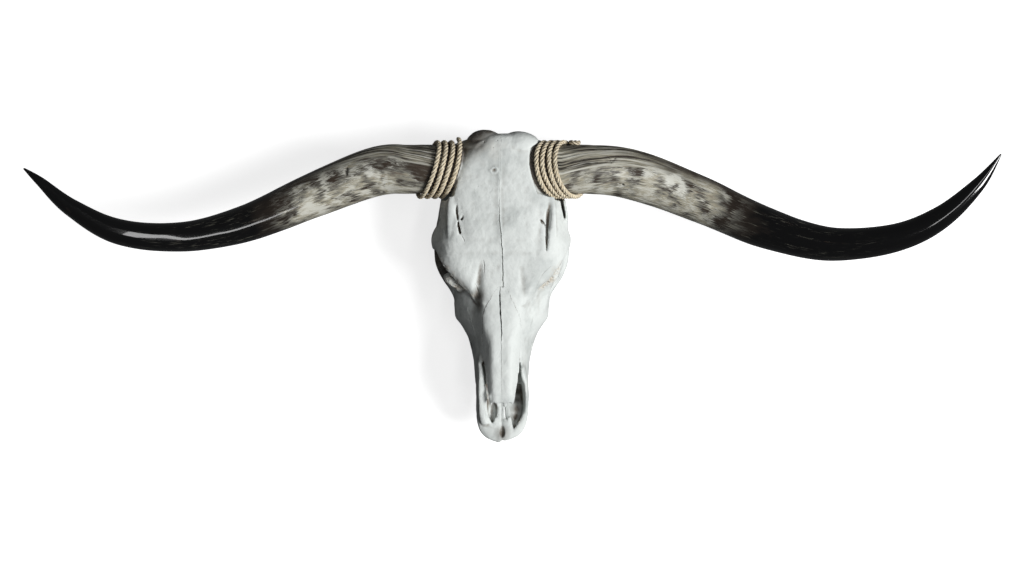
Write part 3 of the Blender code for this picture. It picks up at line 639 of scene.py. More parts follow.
def course_depth(points, course, seed):
    """Depth of one crease below each point, seen from the front."""
    path = [(s + drift(a, seed, 1.1), a, w, d) for s, a, w, d in smooth_path(course, 8)]
    depth = np.zeros(len(points))
    for (s0, a0, w0, d0), (s1, a1, w1, d1) in zip(path, path[1:]):
        way = np.array((s1 - s0, a1 - a0))
        offset = points[:, :2] - (s0, a0)
        share = np.clip(offset @ way / (way @ way), 0, 1)
        away = np.linalg.norm(offset - share[:, None] * way, axis=1) / (w0 + (w1 - w0) * share)
        deep = d0 + (d1 - d0) * share
        depth = np.maximum(depth, deep * np.clip(1 - away, 0, 1) ** 0.7)
    return depth


def dip_depth(points, course):
    """Depth of a soft dip below each point: deepest along its course, fading on both sides of it."""
    path = smooth_path(course, 6)
    alongs = [row[1] for row in path]
    middle, reach, deep = (np.interp(points[:, 1], alongs, [row[k] for row in path]) for k in (0, 2, 3))
    before = np.clip(1 - (alongs[0] - points[:, 1]) / 15, 0, 1) ** 2
    after = np.clip(1 - (points[:, 1] - alongs[-1]) / 15, 0, 1) ** 2
    return deep * before * after * np.exp(-((points[:, 0] - middle) / reach) ** 2)


def skull_points(mesh):
    """Vertex places in the skull's frame, as rows of side, along and up in millimetres, and the normals."""
    places = np.empty(len(mesh.vertices) * 3, np.float32)
    mesh.vertices.foreach_get("co", places)
    normals = np.empty(len(mesh.vertices) * 3, np.float32)
    mesh.vertices.foreach_get("normal", normals)
    points = places.reshape(-1, 3).astype(float) / MM * (1, -1, 1)
    return points, normals.reshape(-1, 3) * (1, -1, 1)


def move_points(mesh, points):
    """Puts a mesh's vertices at new places, given in the skull's frame."""
    mesh.vertices.foreach_set("co", (points * (1, -1, 1) * MM).astype(np.float32).ravel())
    mesh.update()


# What lies lower than this, from the forehead down, isn't part of the skull's front.
FRONT_LOWEST = -45


def on_front(points, normals):
    """Which points lie on the skull's front and face upward."""
    return (normals[:, 2] > 0.2) & (points[:, 2] > FRONT_LOWEST)


def edge_ends(mesh):
    """The two end points of each edge, one edge to a row."""
    edges = np.empty(len(mesh.edges) * 2, np.int32)
    mesh.edges.foreach_get("vertices", edges)
    return edges.reshape(-1, 2)


def averaging(edges, count):
    """A function that gives, for each point, the mean place of the points it shares an edge with."""
    a, b = edges.T
    degree = np.maximum(np.bincount(a, minlength=count) + np.bincount(b, minlength=count), 1)[:, None]

    def average(places):
        columns = [
            np.bincount(a, places[:, k][b], count) + np.bincount(b, places[:, k][a], count) for k in range(3)
        ]
        return np.stack(columns, axis=1) / degree

    return average


# Where neighbouring forms grow into each other without a step: side, along and up of the middle, and reach.
EASED = [(66, 290, -50, 46), (-101, 170, -40, 26), (101, 170, -40, 26), (-82, 262, -46, 16)]


def ease(obj, spots, rounds):
    """Smooths the skin around the given places."""
    points, _ = skull_points(obj.data)
    edges = edge_ends(obj.data)
    share = np.zeros(len(points))
    for side, along, up, reach in spots:
        away = np.linalg.norm(points - (side, along, up), axis=1)
        share = np.maximum(share, np.clip(2 - 2 * away / reach, 0, 1))
    average = averaging(edges[(share[edges] > 0).any(axis=1)], len(points))
    for _ in range(rounds):
        points += (average(points) - points) * share[:, None]
    move_points(obj.data, points)


def refine_creases(obj):
    """Splits the skin finely where a crease, a pit or a crumbled patch needs it."""
    points, normals = skull_points(obj.data)
    near = np.zeros(len(points), bool)
    front = on_front(points, normals)
    for number, course in enumerate(CREASES):
        wide = [(s, a, w + 2.5, 1.0) for s, a, w, _ in course]
        near |= front & (course_depth(points, wide, number) > 0)
    for side, along, radius, _ in PITS:
        near |= front & (np.hypot(points[:, 0] - side, points[:, 1] - along) < radius + 2)
    for side, along, up, reach in CRUMBLED:
        near |= np.linalg.norm(points - (side, along, up), axis=1) < reach
    bm = bmesh.new()
    bm.from_mesh(obj.data)
    edges = [edge for edge in bm.edges if near[edge.verts[0].index] and near[edge.verts[1].index]]
    bmesh.ops.subdivide_edges(bm, edges=edges, cuts=2, use_grid_fill=True)
    bmesh.ops.triangulate(bm, faces=[face for face in bm.faces if len(face.verts) > 4])
    bm.to_mesh(obj.data)
    bm.free()


# How far the bone's skin rises and sinks: in broad and in fine swells, and where it is crumbled.
BROAD_SWELL = 0.75
FINE_SWELL = 0.28
CRUMB_SWELL = 1.5
# Height of the swirl's ring and depth of its pit.
SWIRL_RISE = 1.5
SWIRL_PIT = 1.2


def weather(obj):
    """Cuts the creases and pits, and gives the bone its low uneven relief."""
    points, normals = skull_points(obj.data)
    push = np.zeros(len(points))
    facing = np.clip(normals[:, 2] * 2, 0, 1) * (points[:, 2] > FRONT_LOWEST)
    for course in DIPS:
        points[:, 2] -= dip_depth(points, course) * facing
    for i, (side, along, up) in enumerate(points):
        broad = noise.noise((side * 0.035, along * 0.03, up * 0.035))
        fine = noise.noise((side * 0.13 + 9, along * 0.10, up * 0.13))
        push[i] = BROAD_SWELL * broad + FINE_SWELL * fine
    for side, along, up, reach in CRUMBLED:
        away = np.linalg.norm(points - (side, along, up), axis=1)
        for i in np.nonzero(away < reach)[0]:
            spot = Vector(points[i])
            crumbs = noise.ridged_multi_fractal(spot * 0.17, 0.8, 2.3, 5, 1.0, 2.0) - 1.1
            push[i] += CRUMB_SWELL * crumbs * (1 - (away[i] / reach) ** 2)
    front = on_front(points, normals)
    side, along = points[:, 0], points[:, 1]
    for number, course in enumerate(CREASES):
        push -= front * course_depth(points, course, number)
    for s, a, radius, depth in PITS:
        push -= front * depth * np.clip(1 - (np.hypot(side - s, along - a) / radius) ** 2, 0, 1)
    # The two halves of the forehead meet in a low ridge, which ends short of the nasal bones.
    middle = np.interp(along, [row[1] for row in FRONTAL_JOINT], [row[0] for row in FRONTAL_JOINT])
    ridge = np.interp(along, (20, 70, 130, 170, 220), (0.2, 0.5, 1.0, 0.8, 0.2))
    push += front * (along < NASAL_BACK - 5) * ridge * np.exp(-((side - middle) / 3.2) ** 2)
    # The swirl stands a little proud round a pit.
    s, a, radius = SWIRL
    away = np.hypot(side - s, along - a)
    turn = np.arctan2(along - a, side - s)
    push += front * SWIRL_RISE * np.exp(-((away - radius * (0.8 + 0.08 * turn)) / 1.5) ** 2)
    push -= front * SWIRL_PIT * np.exp(-(away / 1.6) ** 2)
    move_points(obj.data, points + normals * push[:, None])


# The finer the skin, the more rounds it takes to ease it.
ease(skull, EASED, 110)
refine_creases(skull)
weather(skull)


# The nasal and incisive bones stand loose. Side of each nasal bone's outer joint along the snout, and
# half the width of the open crack there: side, half-gap, at a distance along.
NASAL_JOINT = {
    -1: {
        267: (5, 0.05), 276: (12, 0.05), 285: (18, 0.1), 291: (21, 0.35), 304: (28.5, 0.5),
        312: (31.5, 0.35), 324: (32, 0.12), 340: (33, 0.2), 358: (33.5, 0.4), 372: (32.8, 0.6),
        390: (32.6, 0.8), 410: (30.2, 1.0), 440: (26, 1.0), 465: (22, 1.0), 480: (21, 1.0),
    },
    1: {
        267: (5, 0.05), 270: (9, 0.05), 290: (18, 0.05), 305: (25, 0.05), 321: (31.5, 0.05),
        345: (34, 0.08), 358: (38, 0.2), 367: (39.5, 0.5), 375: (32.5, 0.8), 384: (31.6, 0.9),
        414: (31.8, 1.1), 440: (31, 1.0), 480: (29, 1.0),
    },
}
# The joint between the two nasal bones: side, half-gap.
MIDDLE_JOINT = {
    262: (-1.6, 0.1), 272: (-2.6, 0.5), 282: (-2.7, 1.2), 300: (-2.4, 1.1), 324: (-0.9, 1.15),
    334: (-0.2, 0.7), 348: (0.1, 0.8), 362: (-0.5, 0.3), 400: (-0.2, 0.28), 464: (0.8, 0.25),
    480: (0.8, 0.3),
}
# How deep the nasal bones reach: under these the cranium goes on, and in front of them is the open nose.
NASAL_UNDER = {267: -12, 276: -13, 288: -16, 324: -19, 345: -20, 356: -28, 398: -29, 480: -29}
# Their spaces reach up to here, clear of the roof.
NASAL_OVER = 12
# The gap round the back and under the loose nasal bones, and behind the loose incisive bones.
NASAL_PLAY = 0.3
MUZZLE_PLAY = 0.12


def read_off(table, along, column=None):
    """The value between the rows of a table, at a place along the skull."""
    values = [row if column is None else row[column] for row in table.values()]
    return float(np.interp(along, list(table), values))


def nasal_space(side, loose):
    """The space of one nasal bone, or with side 0 of both. A loose bone has shrunk from its joints."""
    play = NASAL_PLAY if loose else 0.0
    rings = []
    for along in np.arange(NASAL_BACK + play, NASAL_TIP + 12, 2.0):
        middle = read_off(MIDDLE_JOINT, along, 0) + drift(along, 30, 0.9)
        middle_gap = read_off(MIDDLE_JOINT, along, 1) * (1 + drift(along, 31, 0.5))
        edges = {}
        for flank in both:
            course = read_off(NASAL_JOINT[flank], along, 0) + drift(along, 33 + flank, 1.6)
            gap = read_off(NASAL_JOINT[flank], along, 1) * (1 + drift(along, 36 + flank, 0.5))
            edges[flank] = flank * (course - (gap if loose else -gap))
        under = read_off(NASAL_UNDER, along) + play
        near = middle + side * middle_gap
        left, right = {-1: (edges[-1], near), 0: (edges[-1], edges[1]), 1: (near, edges[1])}[side]
        corners = ((left, NASAL_OVER), (right, NASAL_OVER), (right, under), (left, under))
        rings.append([at(across, along, up) for across, up in corners])
    return rings


# The ragged joint behind the incisive bones: along and up of its upper and of its lower end.
MUZZLE_JOINT = ((404, 4), (441, -110))
# The joint between the two incisive bones leans by this share of the way down from its middle.
MIDDLE_SLANT = 0.07
MIDDLE_SLANT_UP = -74


def muzzle_space(side, loose):
    """The space of one incisive bone, or with side 0 of both, in front of their slanted joint."""
    play = MUZZLE_PLAY if loose else 0.0
    near, far = (-90, 90) if side == 0 else (side * play, side * 90)
    (upper, top), (lower, foot) = MUZZLE_JOINT
    front = SKULL_LENGTH + 36
    rings = []
    for across in np.linspace(near, far, 60):
        jag = play + drift(across * 2.0, 50, 1.2)
        outline = [(upper + jag, top), (lower + jag, foot), (front, foot), (front, top)]
        rings.append([at(across + MIDDLE_SLANT * (up - MIDDLE_SLANT_UP), along, up) for along, up in outline])
    return rings


def cut_out(name, whole, rings, operation):
    """A copy of a mesh, cut by the body through the rings."""
    bm = bmesh.new()
    add_loft(bm, rings)
    cutter = new_object(f"{name}_space", bm)
    piece = bpy.data.objects.new(name, whole.data.copy())
    bpy.context.scene.collection.objects.link(piece)
    carve(piece, cutter, operation)
    settle(piece)
    bpy.data.objects.remove(cutter)
    return piece


def drop_chips(obj):
    """Keeps the largest piece of a cut bone, without the crumbs that a cut leaves beside it."""
    bm = bmesh.new()
    bm.from_mesh(obj.data)
    unseen = set(bm.verts)
    bodies = []
    while unseen:
        body, edge = set(), [unseen.pop()]
        while edge:
            vert = edge.pop()
            body.add(vert)
            near = {e.other_vert(vert) for e in vert.link_edges} & unseen
            unseen -= near
            edge.extend(near)
        bodies.append(body)
    bodies.sort(key=len)
    crumbs = [vert for body in bodies[:-1] for vert in body]
    bmesh.ops.delete(bm, geom=crumbs, context="VERTS")
    bm.to_mesh(obj.data)
    bm.free()


SIDE_NAMES = {-1: "left", 1: "right"}
bones = {}
rest = skull
for bone, space in (("nasal", nasal_space), ("incisive", muzzle_space)):
    for side in both:
        name = f"{bone}_{SIDE_NAMES[side]}"
        bones[name] = cut_out(name + "_bone", rest, space(side, True), "INTERSECT")
    left_over = cut_out(f"less_{bone}", rest, space(0, False), "DIFFERENCE")
    bpy.data.objects.remove(rest)
    rest = left_over
rest.name = "cranium_bone"
bones["cranium"] = rest
for piece in bones.values():
    drop_chips(piece)


def store(mesh, name, values):
    """Keeps one value for each point as a named attribute, which a material can read."""
    attribute = mesh.attributes.new(name, "FLOAT", "POINT")
    attribute.data.foreach_set("value", values.astype(np.float32))


def mark_hollows(mesh, rounds, reach):
    """Stores how far each point lies in a hollow of the surface, from 0 to 1, as the attribute "hollow"."""
    points, normals = skull_points(mesh)
    average = averaging(edge_ends(mesh), len(points))
    smooth = points
    for _ in range(rounds):
        smooth = average(smooth)
    sunk = np.einsum("ij,ij->i", smooth - points, normals)
    store(mesh, "hollow", np.clip(sunk / reach, 0, 1))


# Where the bone is darkened: dust with painted shade at the back of the head, and painted shade in the
# openings, the dips and under the left eye. Side, along and up of the middle, and reach.
DUST_AND_SHADE_SPOTS = [
    # The back of the head: dust, and painted shade on its slope.
    (-56, 12, -22, 34), (-44, 2, -22, 34), (-22, -2, -24, 22), (-70, 36, -26, 24), (-46, 20, -10, 22),
    (0, 8, -30, 14),
    # Painted shade at the edges of the long openings in the muzzle's floor, and in the pocket at its front.
    (-17, 468, -88, 9), (-26, 436, -88, 15), (28, 450, -88, 11), (27, 465, -88, 10.5),
    (26, 480, -86, 10.5), (24, 494, -84, 9), (1, 522, -74, 14),
    # Painted shade under the left eye, in the dip beside the nose, and inside the nose.
    (-108, 216, -92, 39), (-100, 240, -90, 33), (-39, 282, -18, 14), (-42, 298, -20, 13),
    (-24, 446, -68, 18), (-18, 410, -62, 22),
    # Painted shade in the gap outside the right brow ridge.
    (105, 125, -80, 32),
]


def mark_near(mesh, name, spots, upper_only=False):
    """Stores how near each point lies to the given spots, from 0 to 1, as a named attribute."""
    points, normals = skull_points(mesh)
    nearness = np.zeros(len(points))
    for side, along, up, reach in spots:
        away = np.linalg.norm(points - (side, along, up), axis=1)
        nearness = np.maximum(nearness, np.clip(1.3 - away / reach, 0, 1))
    if upper_only:
        nearness *= np.clip(1 + 1.5 * normals[:, 2], 0, 1)
    store(mesh, name, nearness)


def feed(tree, made, inputs):
    """Sets a node's inputs to values, or joins them to other nodes' sockets."""
    for key, value in inputs.items():
        if isinstance(value, bpy.types.NodeSocket):
            tree.links.new(value, made.inputs[key])
        else:
            made.inputs[key].default_value = value


def node(tree, kind, inputs=None, **settings):
    """A shader node with its settings and inputs."""
    made = tree.nodes.new("ShaderNode" + kind)
    for name, value in settings.items():
        setattr(made, name, value)
    feed(tree, made, inputs or {})
    return made


def stored(tree, name, output="Fac"):
    """The values kept with the mesh under a name."""
    return node(tree, "Attribute", attribute_name=name).outputs[output]


def own_place(tree):
    """The place of each point on its piece."""
    return node(tree, "TexCoord").outputs["Object"]


def mottle(tree, place, scale, detail, roughness=0.5, wander=0.0):
    """Cloudy noise from 0 to 1."""
    inputs = {
        "Vector": place, "Scale": scale, "Detail": detail, "Roughness": roughness, "Distortion": wander,
    }
    return node(tree, "TexNoise", inputs).outputs[0]


def blended(tree, share, first, second):
    """The colour between two, by a share from 0 to 1."""
    mix = node(tree, "Mix", data_type="RGBA")
    feed(tree, mix, {0: share, 6: first, 7: second})
    return mix.outputs[2]


def plus(tree, first, second, clamp=False):
    return node(tree, "Math", {0: first, 1: second}, operation="ADD", use_clamp=clamp).outputs[0]


def minus(tree, first, second, clamp=False):
    return node(tree, "Math", {0: first, 1: second}, operation="SUBTRACT", use_clamp=clamp).outputs[0]


def times(tree, first, second, clamp=False):
    return node(tree, "Math", {0: first, 1: second}, operation="MULTIPLY", use_clamp=clamp).outputs[0]


def vectors(tree, how, first, second):
    """One place worked out from two, such as their sum or product."""
    return node(tree, "VectorMath", {0: first, 1: second}, operation=how).outputs[0]


def levels(tree, value, low, high, to_low=0.0, to_high=1.0):
    """A value spread between two levels, with soft ends."""
    inputs = {"Value": value, "From Min": low, "From Max": high, "To Min": to_low, "To Max": to_high}
    return node(tree, "MapRange", inputs, interpolation_type="SMOOTHSTEP").outputs[0]


def shade(red, green, blue):
    """An opaque colour."""
    return (red, green, blue, 1.0)


def new_material(name):
    """A material with its shader, ready for colour, roughness and relief."""
    material = bpy.data.materials.new(name)
    material.use_nodes = True
    tree = material.node_tree
    return material, tree, tree.nodes["Principled BSDF"]


def new_group(name, inputs, outputs):
    """An empty node group with named sockets: name to kind."""
    tree = bpy.data.node_groups.new(name, "ShaderNodeTree")
    for direction, sockets in (("INPUT", inputs), ("OUTPUT", outputs)):
        for label, kind in sockets.items():
            tree.interface.new_socket(label, in_out=direction, socket_type="NodeSocket" + kind)
    return tree, tree.nodes.new("NodeGroupInput").outputs, tree.nodes.new("NodeGroupOutput").inputs


def use_group(tree, group, inputs):
    """The outputs of a node group, put to use in a material."""
    made = tree.nodes.new("ShaderNodeGroup")
    made.node_tree = group
    feed(tree, made, inputs)
    return made.outputs


def grime_and_shade_group():
    """Grime and painted shade that darken the hollows of a surface, broken up by blotches."""
    sockets = {"Color": "Color", "Grime and shade": "Color", "Strength": "Float", "Size": "Float"}
    tree, given, out = new_group("grime_and_shade", sockets, {"Color": "Color", "Mask": "Float"})
    blotches = mottle(tree, own_place(tree), given["Size"], 5.0, 0.6)
    broken = times(tree, stored(tree, "hollow"), levels(tree, blotches, 0.25, 0.7, 0.35, 1.3))
    mask = times(tree, broken, given["Strength"], clamp=True)
    tree.links.new(blended(tree, mask, given["Color"], given["Grime and shade"]), out["Color"])
    tree.links.new(mask, out["Mask"])
    return tree


def strokes_group():
    """Streaks drawn out along one direction, such as brush marks, fibres or the grain of horn."""
    sockets = {
        "Vector": "Vector", "Turn": "Vector", "Stretch": "Vector", "Detail": "Float", "Wander": "Float",
    }
    tree, given, out = new_group("strokes", sockets, {"Value": "Float"})
    way = {"Vector": given["Vector"], "Rotation": given["Turn"]}
    turned = node(tree, "VectorRotate", way, rotation_type="EULER_XYZ").outputs[0]
    drawn = vectors(tree, "MULTIPLY", turned, given["Stretch"])
    tree.links.new(mottle(tree, drawn, 1.0, given["Detail"], 0.55, given["Wander"]), out["Value"])
    return tree


GRIME_AND_SHADE = grime_and_shade_group()
STROKES = strokes_group()


def strokes(tree, place, stretch, detail, turn=(0.0, 0.0, 0.0), wander=0.35):
    """Streaks in a material, drawn out where the stretch is small."""
    inputs = {"Vector": place, "Turn": turn, "Stretch": stretch, "Detail": detail, "Wander": wander}
    return use_group(tree, STROKES, inputs)["Value"]


def paint(tree, shader, colour, grime_and_shade, strength, size):
    """Gives a shader its colour with grime and painted shade in the hollows, and returns where they lie."""
    inputs = {"Color": colour, "Grime and shade": grime_and_shade, "Strength": strength, "Size": size}
    grimed_and_shaded = use_group(tree, GRIME_AND_SHADE, inputs)
    tree.links.new(grimed_and_shaded["Color"], shader.inputs["Base Color"])
    return grimed_and_shaded["Mask"]


def emboss(tree, shader, height, strength, distance):
    """Gives a shader a fine relief, of a depth in metres."""
    bump = node(tree, "Bump", {"Strength": strength, "Distance": distance, "Height": height})
    tree.links.new(bump.outputs[0], shader.inputs["Normal"])



BONE_WHITE = shade(0.68, 0.71, 0.69)
BONE_GREY = shade(0.52, 0.55, 0.535)
BONE_CREAM = shade(0.63, 0.605, 0.54)
BONE_RAW = shade(0.55, 0.50, 0.42)
# The dark of dust and of painted shade in the marked spots.
BONE_DUST_AND_SHADE = shade(0.125, 0.11, 0.092)
# The dark of grime and painted shade in the bone's hollows.
BONE_GRIME_AND_SHADE = shade(0.16, 0.135, 0.11)


def bone_finish():
    """Dry bleached bone under a thin brushed wash: chalk white, a little grey where the wash is thin."""
    material, tree, shader = new_material("bleached_bone")
    place = own_place(tree)
    clouds = mottle(tree, place, 16.0, 6.0, 0.62)
    colour = blended(tree, levels(tree, clouds, 0.44, 0.68), BONE_WHITE, BONE_GREY)
    stains = mottle(tree, place, 7.0, 4.0, 0.7)
    colour = blended(tree, levels(tree, stains, 0.56, 0.8, 0.0, 0.5), colour, BONE_CREAM)
    # The broken edges are bare. Dust darkens the back of the head, and painted shade darkens the openings,
    # the dips and the socket under the left eye.
    torn = mottle(tree, place, 150.0, 4.0)
    bare = times(tree, stored(tree, "raw"), levels(tree, torn, 0.4, 0.6, 0.2, 1.0))
    colour = blended(tree, bare, colour, BONE_RAW)
    dust_and_shade_share = times(tree, stored(tree, "dust_and_shade"), levels(tree, clouds, 0.3, 0.6, 0.75, 1.0), clamp=True)
    colour = blended(tree, dust_and_shade_share, colour, BONE_DUST_AND_SHADE)
    # The brush went one way in some places and across it in others.
    brushed = strokes(tree, place, (210.0, 80.0, 150.0), 3.5, (0.0, 0.0, 0.7), 1.3)
    crossed = strokes(tree, place, (240.0, 70.0, 160.0), 3.0, (0.0, 0.0, -0.6), 1.3)
    patch = levels(tree, mottle(tree, place, 22.0, 2.0), 0.42, 0.62)
    marks = blended(tree, patch, brushed, crossed)
    colour = blended(tree, levels(tree, marks, 0.48, 0.70, 0.0, 0.25), colour, BONE_GREY)
    # Grime and painted shade darken the hollows of the bone.
    paint(tree, shader, colour, BONE_GRIME_AND_SHADE, 0.9, 60.0)
    tree.links.new(levels(tree, marks, 0.3, 0.7, 0.72, 0.92), shader.inputs["Roughness"])
    pores = node(tree, "TexVoronoi", {"Vector": place, "Scale": 420.0}).outputs["Distance"]
    scattered = times(tree, levels(tree, pores, 0.0, 0.28, 1.0, 0.0), levels(tree, clouds, 0.5, 0.66))
    lumps = mottle(tree, place, 55.0, 4.0, 0.55)
    grain = mottle(tree, place, 900.0, 3.0, 0.6)
    height = plus(tree, times(tree, marks, 0.7), times(tree, lumps, 3.0))
    height = plus(tree, height, times(tree, grain, 0.25))
    height = minus(tree, height, times(tree, scattered, 0.5))
    emboss(tree, shader, height, 0.6, 0.0011)
    shader.inputs["Specular IOR Level"].default_value = 0.3
    return material


def lay_down(obj):
    """Takes a finished piece from the skull's frame to the ground, and wears it flat where it stands."""
    obj.data.transform(LIE)
    for vert in obj.data.vertices:
        vert.co.z = max(vert.co.z, 0.0)


def dress(obj, material, sharp=None):
    """Gives a piece its material and smooth shading, with edges over some degrees kept sharp."""
    obj.data.materials.clear()
    obj.data.materials.append(material)
    obj.data.shade_smooth()
    if sharp:
        obj.data.set_sharp_from_angle(angle=math.radians(sharp))


BONE = bone_finish()
for name, piece in bones.items():
    mark_hollows(piece.data, 12, 0.9)
    mark_near(piece.data, "raw", CRUMBLED)
    # Dust at the back of the head, and painted shade in the openings, the dips and under the left eye.
    mark_near(piece.data, "dust_and_shade", DUST_AND_SHADE_SPOTS, upper_only=True)
    lay_down(piece)
    dress(piece, BONE, 60)
    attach(piece, "root")
    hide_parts(name)


# ==================================================================== the cheek teeth
# Six upper grinding teeth in each cheek, three small ones of one column in front of three large ones of
# two. Each is a folded prism of enamel, stained brown near the gum, and is worn flat at its end.

# Length and columns of the teeth of a row, from front to back.
TOOTH_LENGTHS = (15.0, 18.0, 19.0, 25.0, 28.0, 30.0)
TOOTH_COLUMNS = (1, 1, 1, 2, 2, 2)
# Both ends of the row, on the right, how far it bows outward, and how far its front end leans in.
TOOTH_ROW_FRONT = Vector((43.0, 392.0, -107.0))
TOOTH_ROW_BACK = Vector((57.5, 258.0, -146.0))
TOOTH_ROW_BOW = 2.0
TOOTH_ROW_LEAN = 2.5
# Half-width of a tooth: the first, and what the big ones have more.
TOOTH_HALF = 5.5
TOOTH_HALF_MORE = 4.5
CROWN_HEIGHT = 22.0
ROOT_HEIGHT = 16.0
# How square a tooth's section is: 2 is an ellipse.
TOOTH_SQUARENESS = 3.2
ENAMEL = shade(0.71, 0.66, 0.52)
TOOTH_STAIN = shade(0.13, 0.075, 0.035)
DENTINE = shade(0.38, 0.26, 0.13)


def tooth_outline(columns, length, wide, steps=72):
    """One tooth's section as (forward, outward) offsets: folds on the cheek side, round lobes inside."""
    outline = []
    square = TOOTH_SQUARENESS
    for turn in circle(steps):
        forward = math.cos(turn)
        outward = math.sin(turn)
        box = (abs(forward) ** square + abs(outward) ** square) ** (-1 / square)
        reach = forward * box
        fold = math.pi * reach * columns
        if outward > 0:
            ribs = 0.10 * math.cos(2 * fold) + 0.05 * math.cos(4 * fold)
            ripple = -ribs if columns > 1 else ribs
        else:
            ripple = 0.16 * (math.cos(fold) if columns > 1 else 0.3)
        outline.append((reach * length * 0.485, outward * box * wide * (1 + ripple)))
    return outline


def tooth(bm, side, middle, length, columns, wide, slope):
    """A prism through rings from the root to a bevelled, cupped grinding face."""
    # Depth below the gum, and the share of the full section there.
    levels_down = [
        (-ROOT_HEIGHT, 0.9), (-6, 1.0), (0, 1.02), (8, 1.0), (16, 0.99), (CROWN_HEIGHT - 1.2, 0.97),
        (CROWN_HEIGHT - 0.3, 0.93), (CROWN_HEIGHT, 0.86), (CROWN_HEIGHT - 1.0, 0.74),
        (CROWN_HEIGHT - 1.8, 0.5), (CROWN_HEIGHT - 1.2, 0.3), (CROWN_HEIGHT - 2.0, 0.12),
    ]
    outline = tooth_outline(columns, length, wide)
    rings = []
    for down, share in levels_down:
        centre = middle + Vector((0.05 * down, 0.16 * down - slope * down * 0.1, -down))
        ring = []
        for forward, outward in outline:
            across = centre.x + outward * share
            along = centre.y - forward * share
            ring.append(at(side * across, along, centre.z))
        rings.append(ring)
    add_loft(bm, rings)


def tooth_row(side):
    """The six teeth of one cheek."""
    bm = bmesh.new()
    whole = sum(TOOTH_LENGTHS)
    reached = 0.0
    for length, columns in zip(TOOTH_LENGTHS, TOOTH_COLUMNS):
        share = (reached + length / 2) / whole
        middle = TOOTH_ROW_FRONT.lerp(TOOTH_ROW_BACK, share)
        middle.x += TOOTH_ROW_BOW * math.sin(math.pi * share)
        middle.x -= TOOTH_ROW_LEAN * (1 - share)
        wide = TOOTH_HALF + TOOTH_HALF_MORE * min(1.0, 1.5 * share)
        tooth(bm, side, middle, length, columns, wide, share)
        reached += length
    return new_object(f"cheek_teeth_{SIDE_NAMES[side]}", bm)


def tooth_finish():
    """Cream enamel with fine growth lines and brown stain, and darker dentine on the worn face."""
    material, tree, shader = new_material("tooth_enamel")
    place = own_place(tree)
    lines = strokes(tree, place, (240.0, 240.0, 60.0), 4.0)
    colour = blended(tree, levels(tree, lines, 0.4, 0.75, 0.0, 0.5), ENAMEL, DENTINE)
    above_ground = node(tree, "SeparateXYZ", {0: place}).outputs[2]
    patches = levels(tree, mottle(tree, place, 90.0, 4.0), 0.4, 0.7, 0.15, 0.95)
    stain = times(tree, levels(tree, above_ground, 0.004, 0.05), patches)
    colour = blended(tree, stain, colour, TOOTH_STAIN)
    # Brown stain and painted shade darken the folds of the enamel.
    paint(tree, shader, colour, TOOTH_STAIN, 1.0, 120.0)
    tree.links.new(levels(tree, lines, 0.3, 0.7, 0.3, 0.55), shader.inputs["Roughness"])
    emboss(tree, shader, lines, 0.4, 0.0004)
    return material


TOOTH = tooth_finish()
for side in both:
    row = tooth_row(side)
    mark_hollows(row.data, 6, 0.6)
    lay_down(row)
    dress(row, TOOTH, 50)
    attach(row, "root")
    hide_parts("cranium")


# ==================================================================== the horns
# A pair of hollow horns of keratin over the necks of bone, ground and polished. Near the skull the horn is
# grey and cream with old cracks along its grain, and from a third of the way out it turns glossy black.

# The line of each horn starts at this distance from the midline, inside the head.
HORN_HIDDEN = 40
# Each horn from base to tip: side, along, up, radius.
HORN_PATHS = {
    -1: [
        (HORN_HIDDEN, 65, -45, 42.4), (150, 64.6, -45.4, 42.3), (217, 68, -51, 42.4), (327, 110, -49, 38.2),
        (435, 157, -30, 31.8), (540, 182, 0, 25.3), (641, 175, 38, 21.6), (715, 136, 66, 15.0),
        (763, 93, 84, 7.8), (788, 72, 92, 1.6),
    ],
    1: [
        (HORN_HIDDEN, 65, -45, 42.4), (154, 64.8, -45.4, 42.3), (232, 75, -51, 43.0), (342, 116, -49, 39.6),
        (450, 165, -28, 35.2), (554, 194, 4, 28.9), (656, 186, 40, 24.0), (730, 153, 66, 19.6),
        (789, 98, 86, 11.6), (824, 49, 96, 1.6),
    ],
}
HORN_SIDES = 208
HORN_STEPS = 40
# Distances out along a horn are counted from the far end of its collar, under the rope.
# Cuts and knocks on each horn: distance out, turn in degrees from the front towards the muzzle, length,
# half-width, slant in degrees from straight across, depth.
HORN_SCARS = {
    -1: [(150, -18, 17, 3.0, 20, 4.0), (155, 53, 15, 2.4, 80, 1.8)],
    1: [(83, -22, 18, 1.3, -38, 2.0), (78, -21, 13, 1.1, 22, 1.5), (106, 32, 6, 1.9, 90, 2.2),
        (165, 60, 66, 1.2, 88, 1.2)],
}
# Pale knocked spots: distance out, turn in degrees, radius.
HORN_SPOTS = {
    -1: [(116, 0, 13), (84, 28, 10)],
    1: [(104, 32, 12), (148, -8, 15), (196, -14, 20), (212, 6, 16)],
}
# The turn, in degrees from the front towards the muzzle, where the cracked grain ends at the collar.
GROOVE_EDGE = {-1: 4.0, 1: 22.0}
# How far out the cracks reach.
GROOVE_REACH = {-1: 190, 1: 230}
# The grain winds by this turn in all, in radians, the most of it within a distance like this.
GRAIN_TWIST = 0.95
TWIST_REACH = 130


def grain_twist(out):
    """How far a line of grain has wound towards the poll side, at a distance out."""
    return GRAIN_TWIST * (1 - math.exp(-max(out, 0.0) / TWIST_REACH))


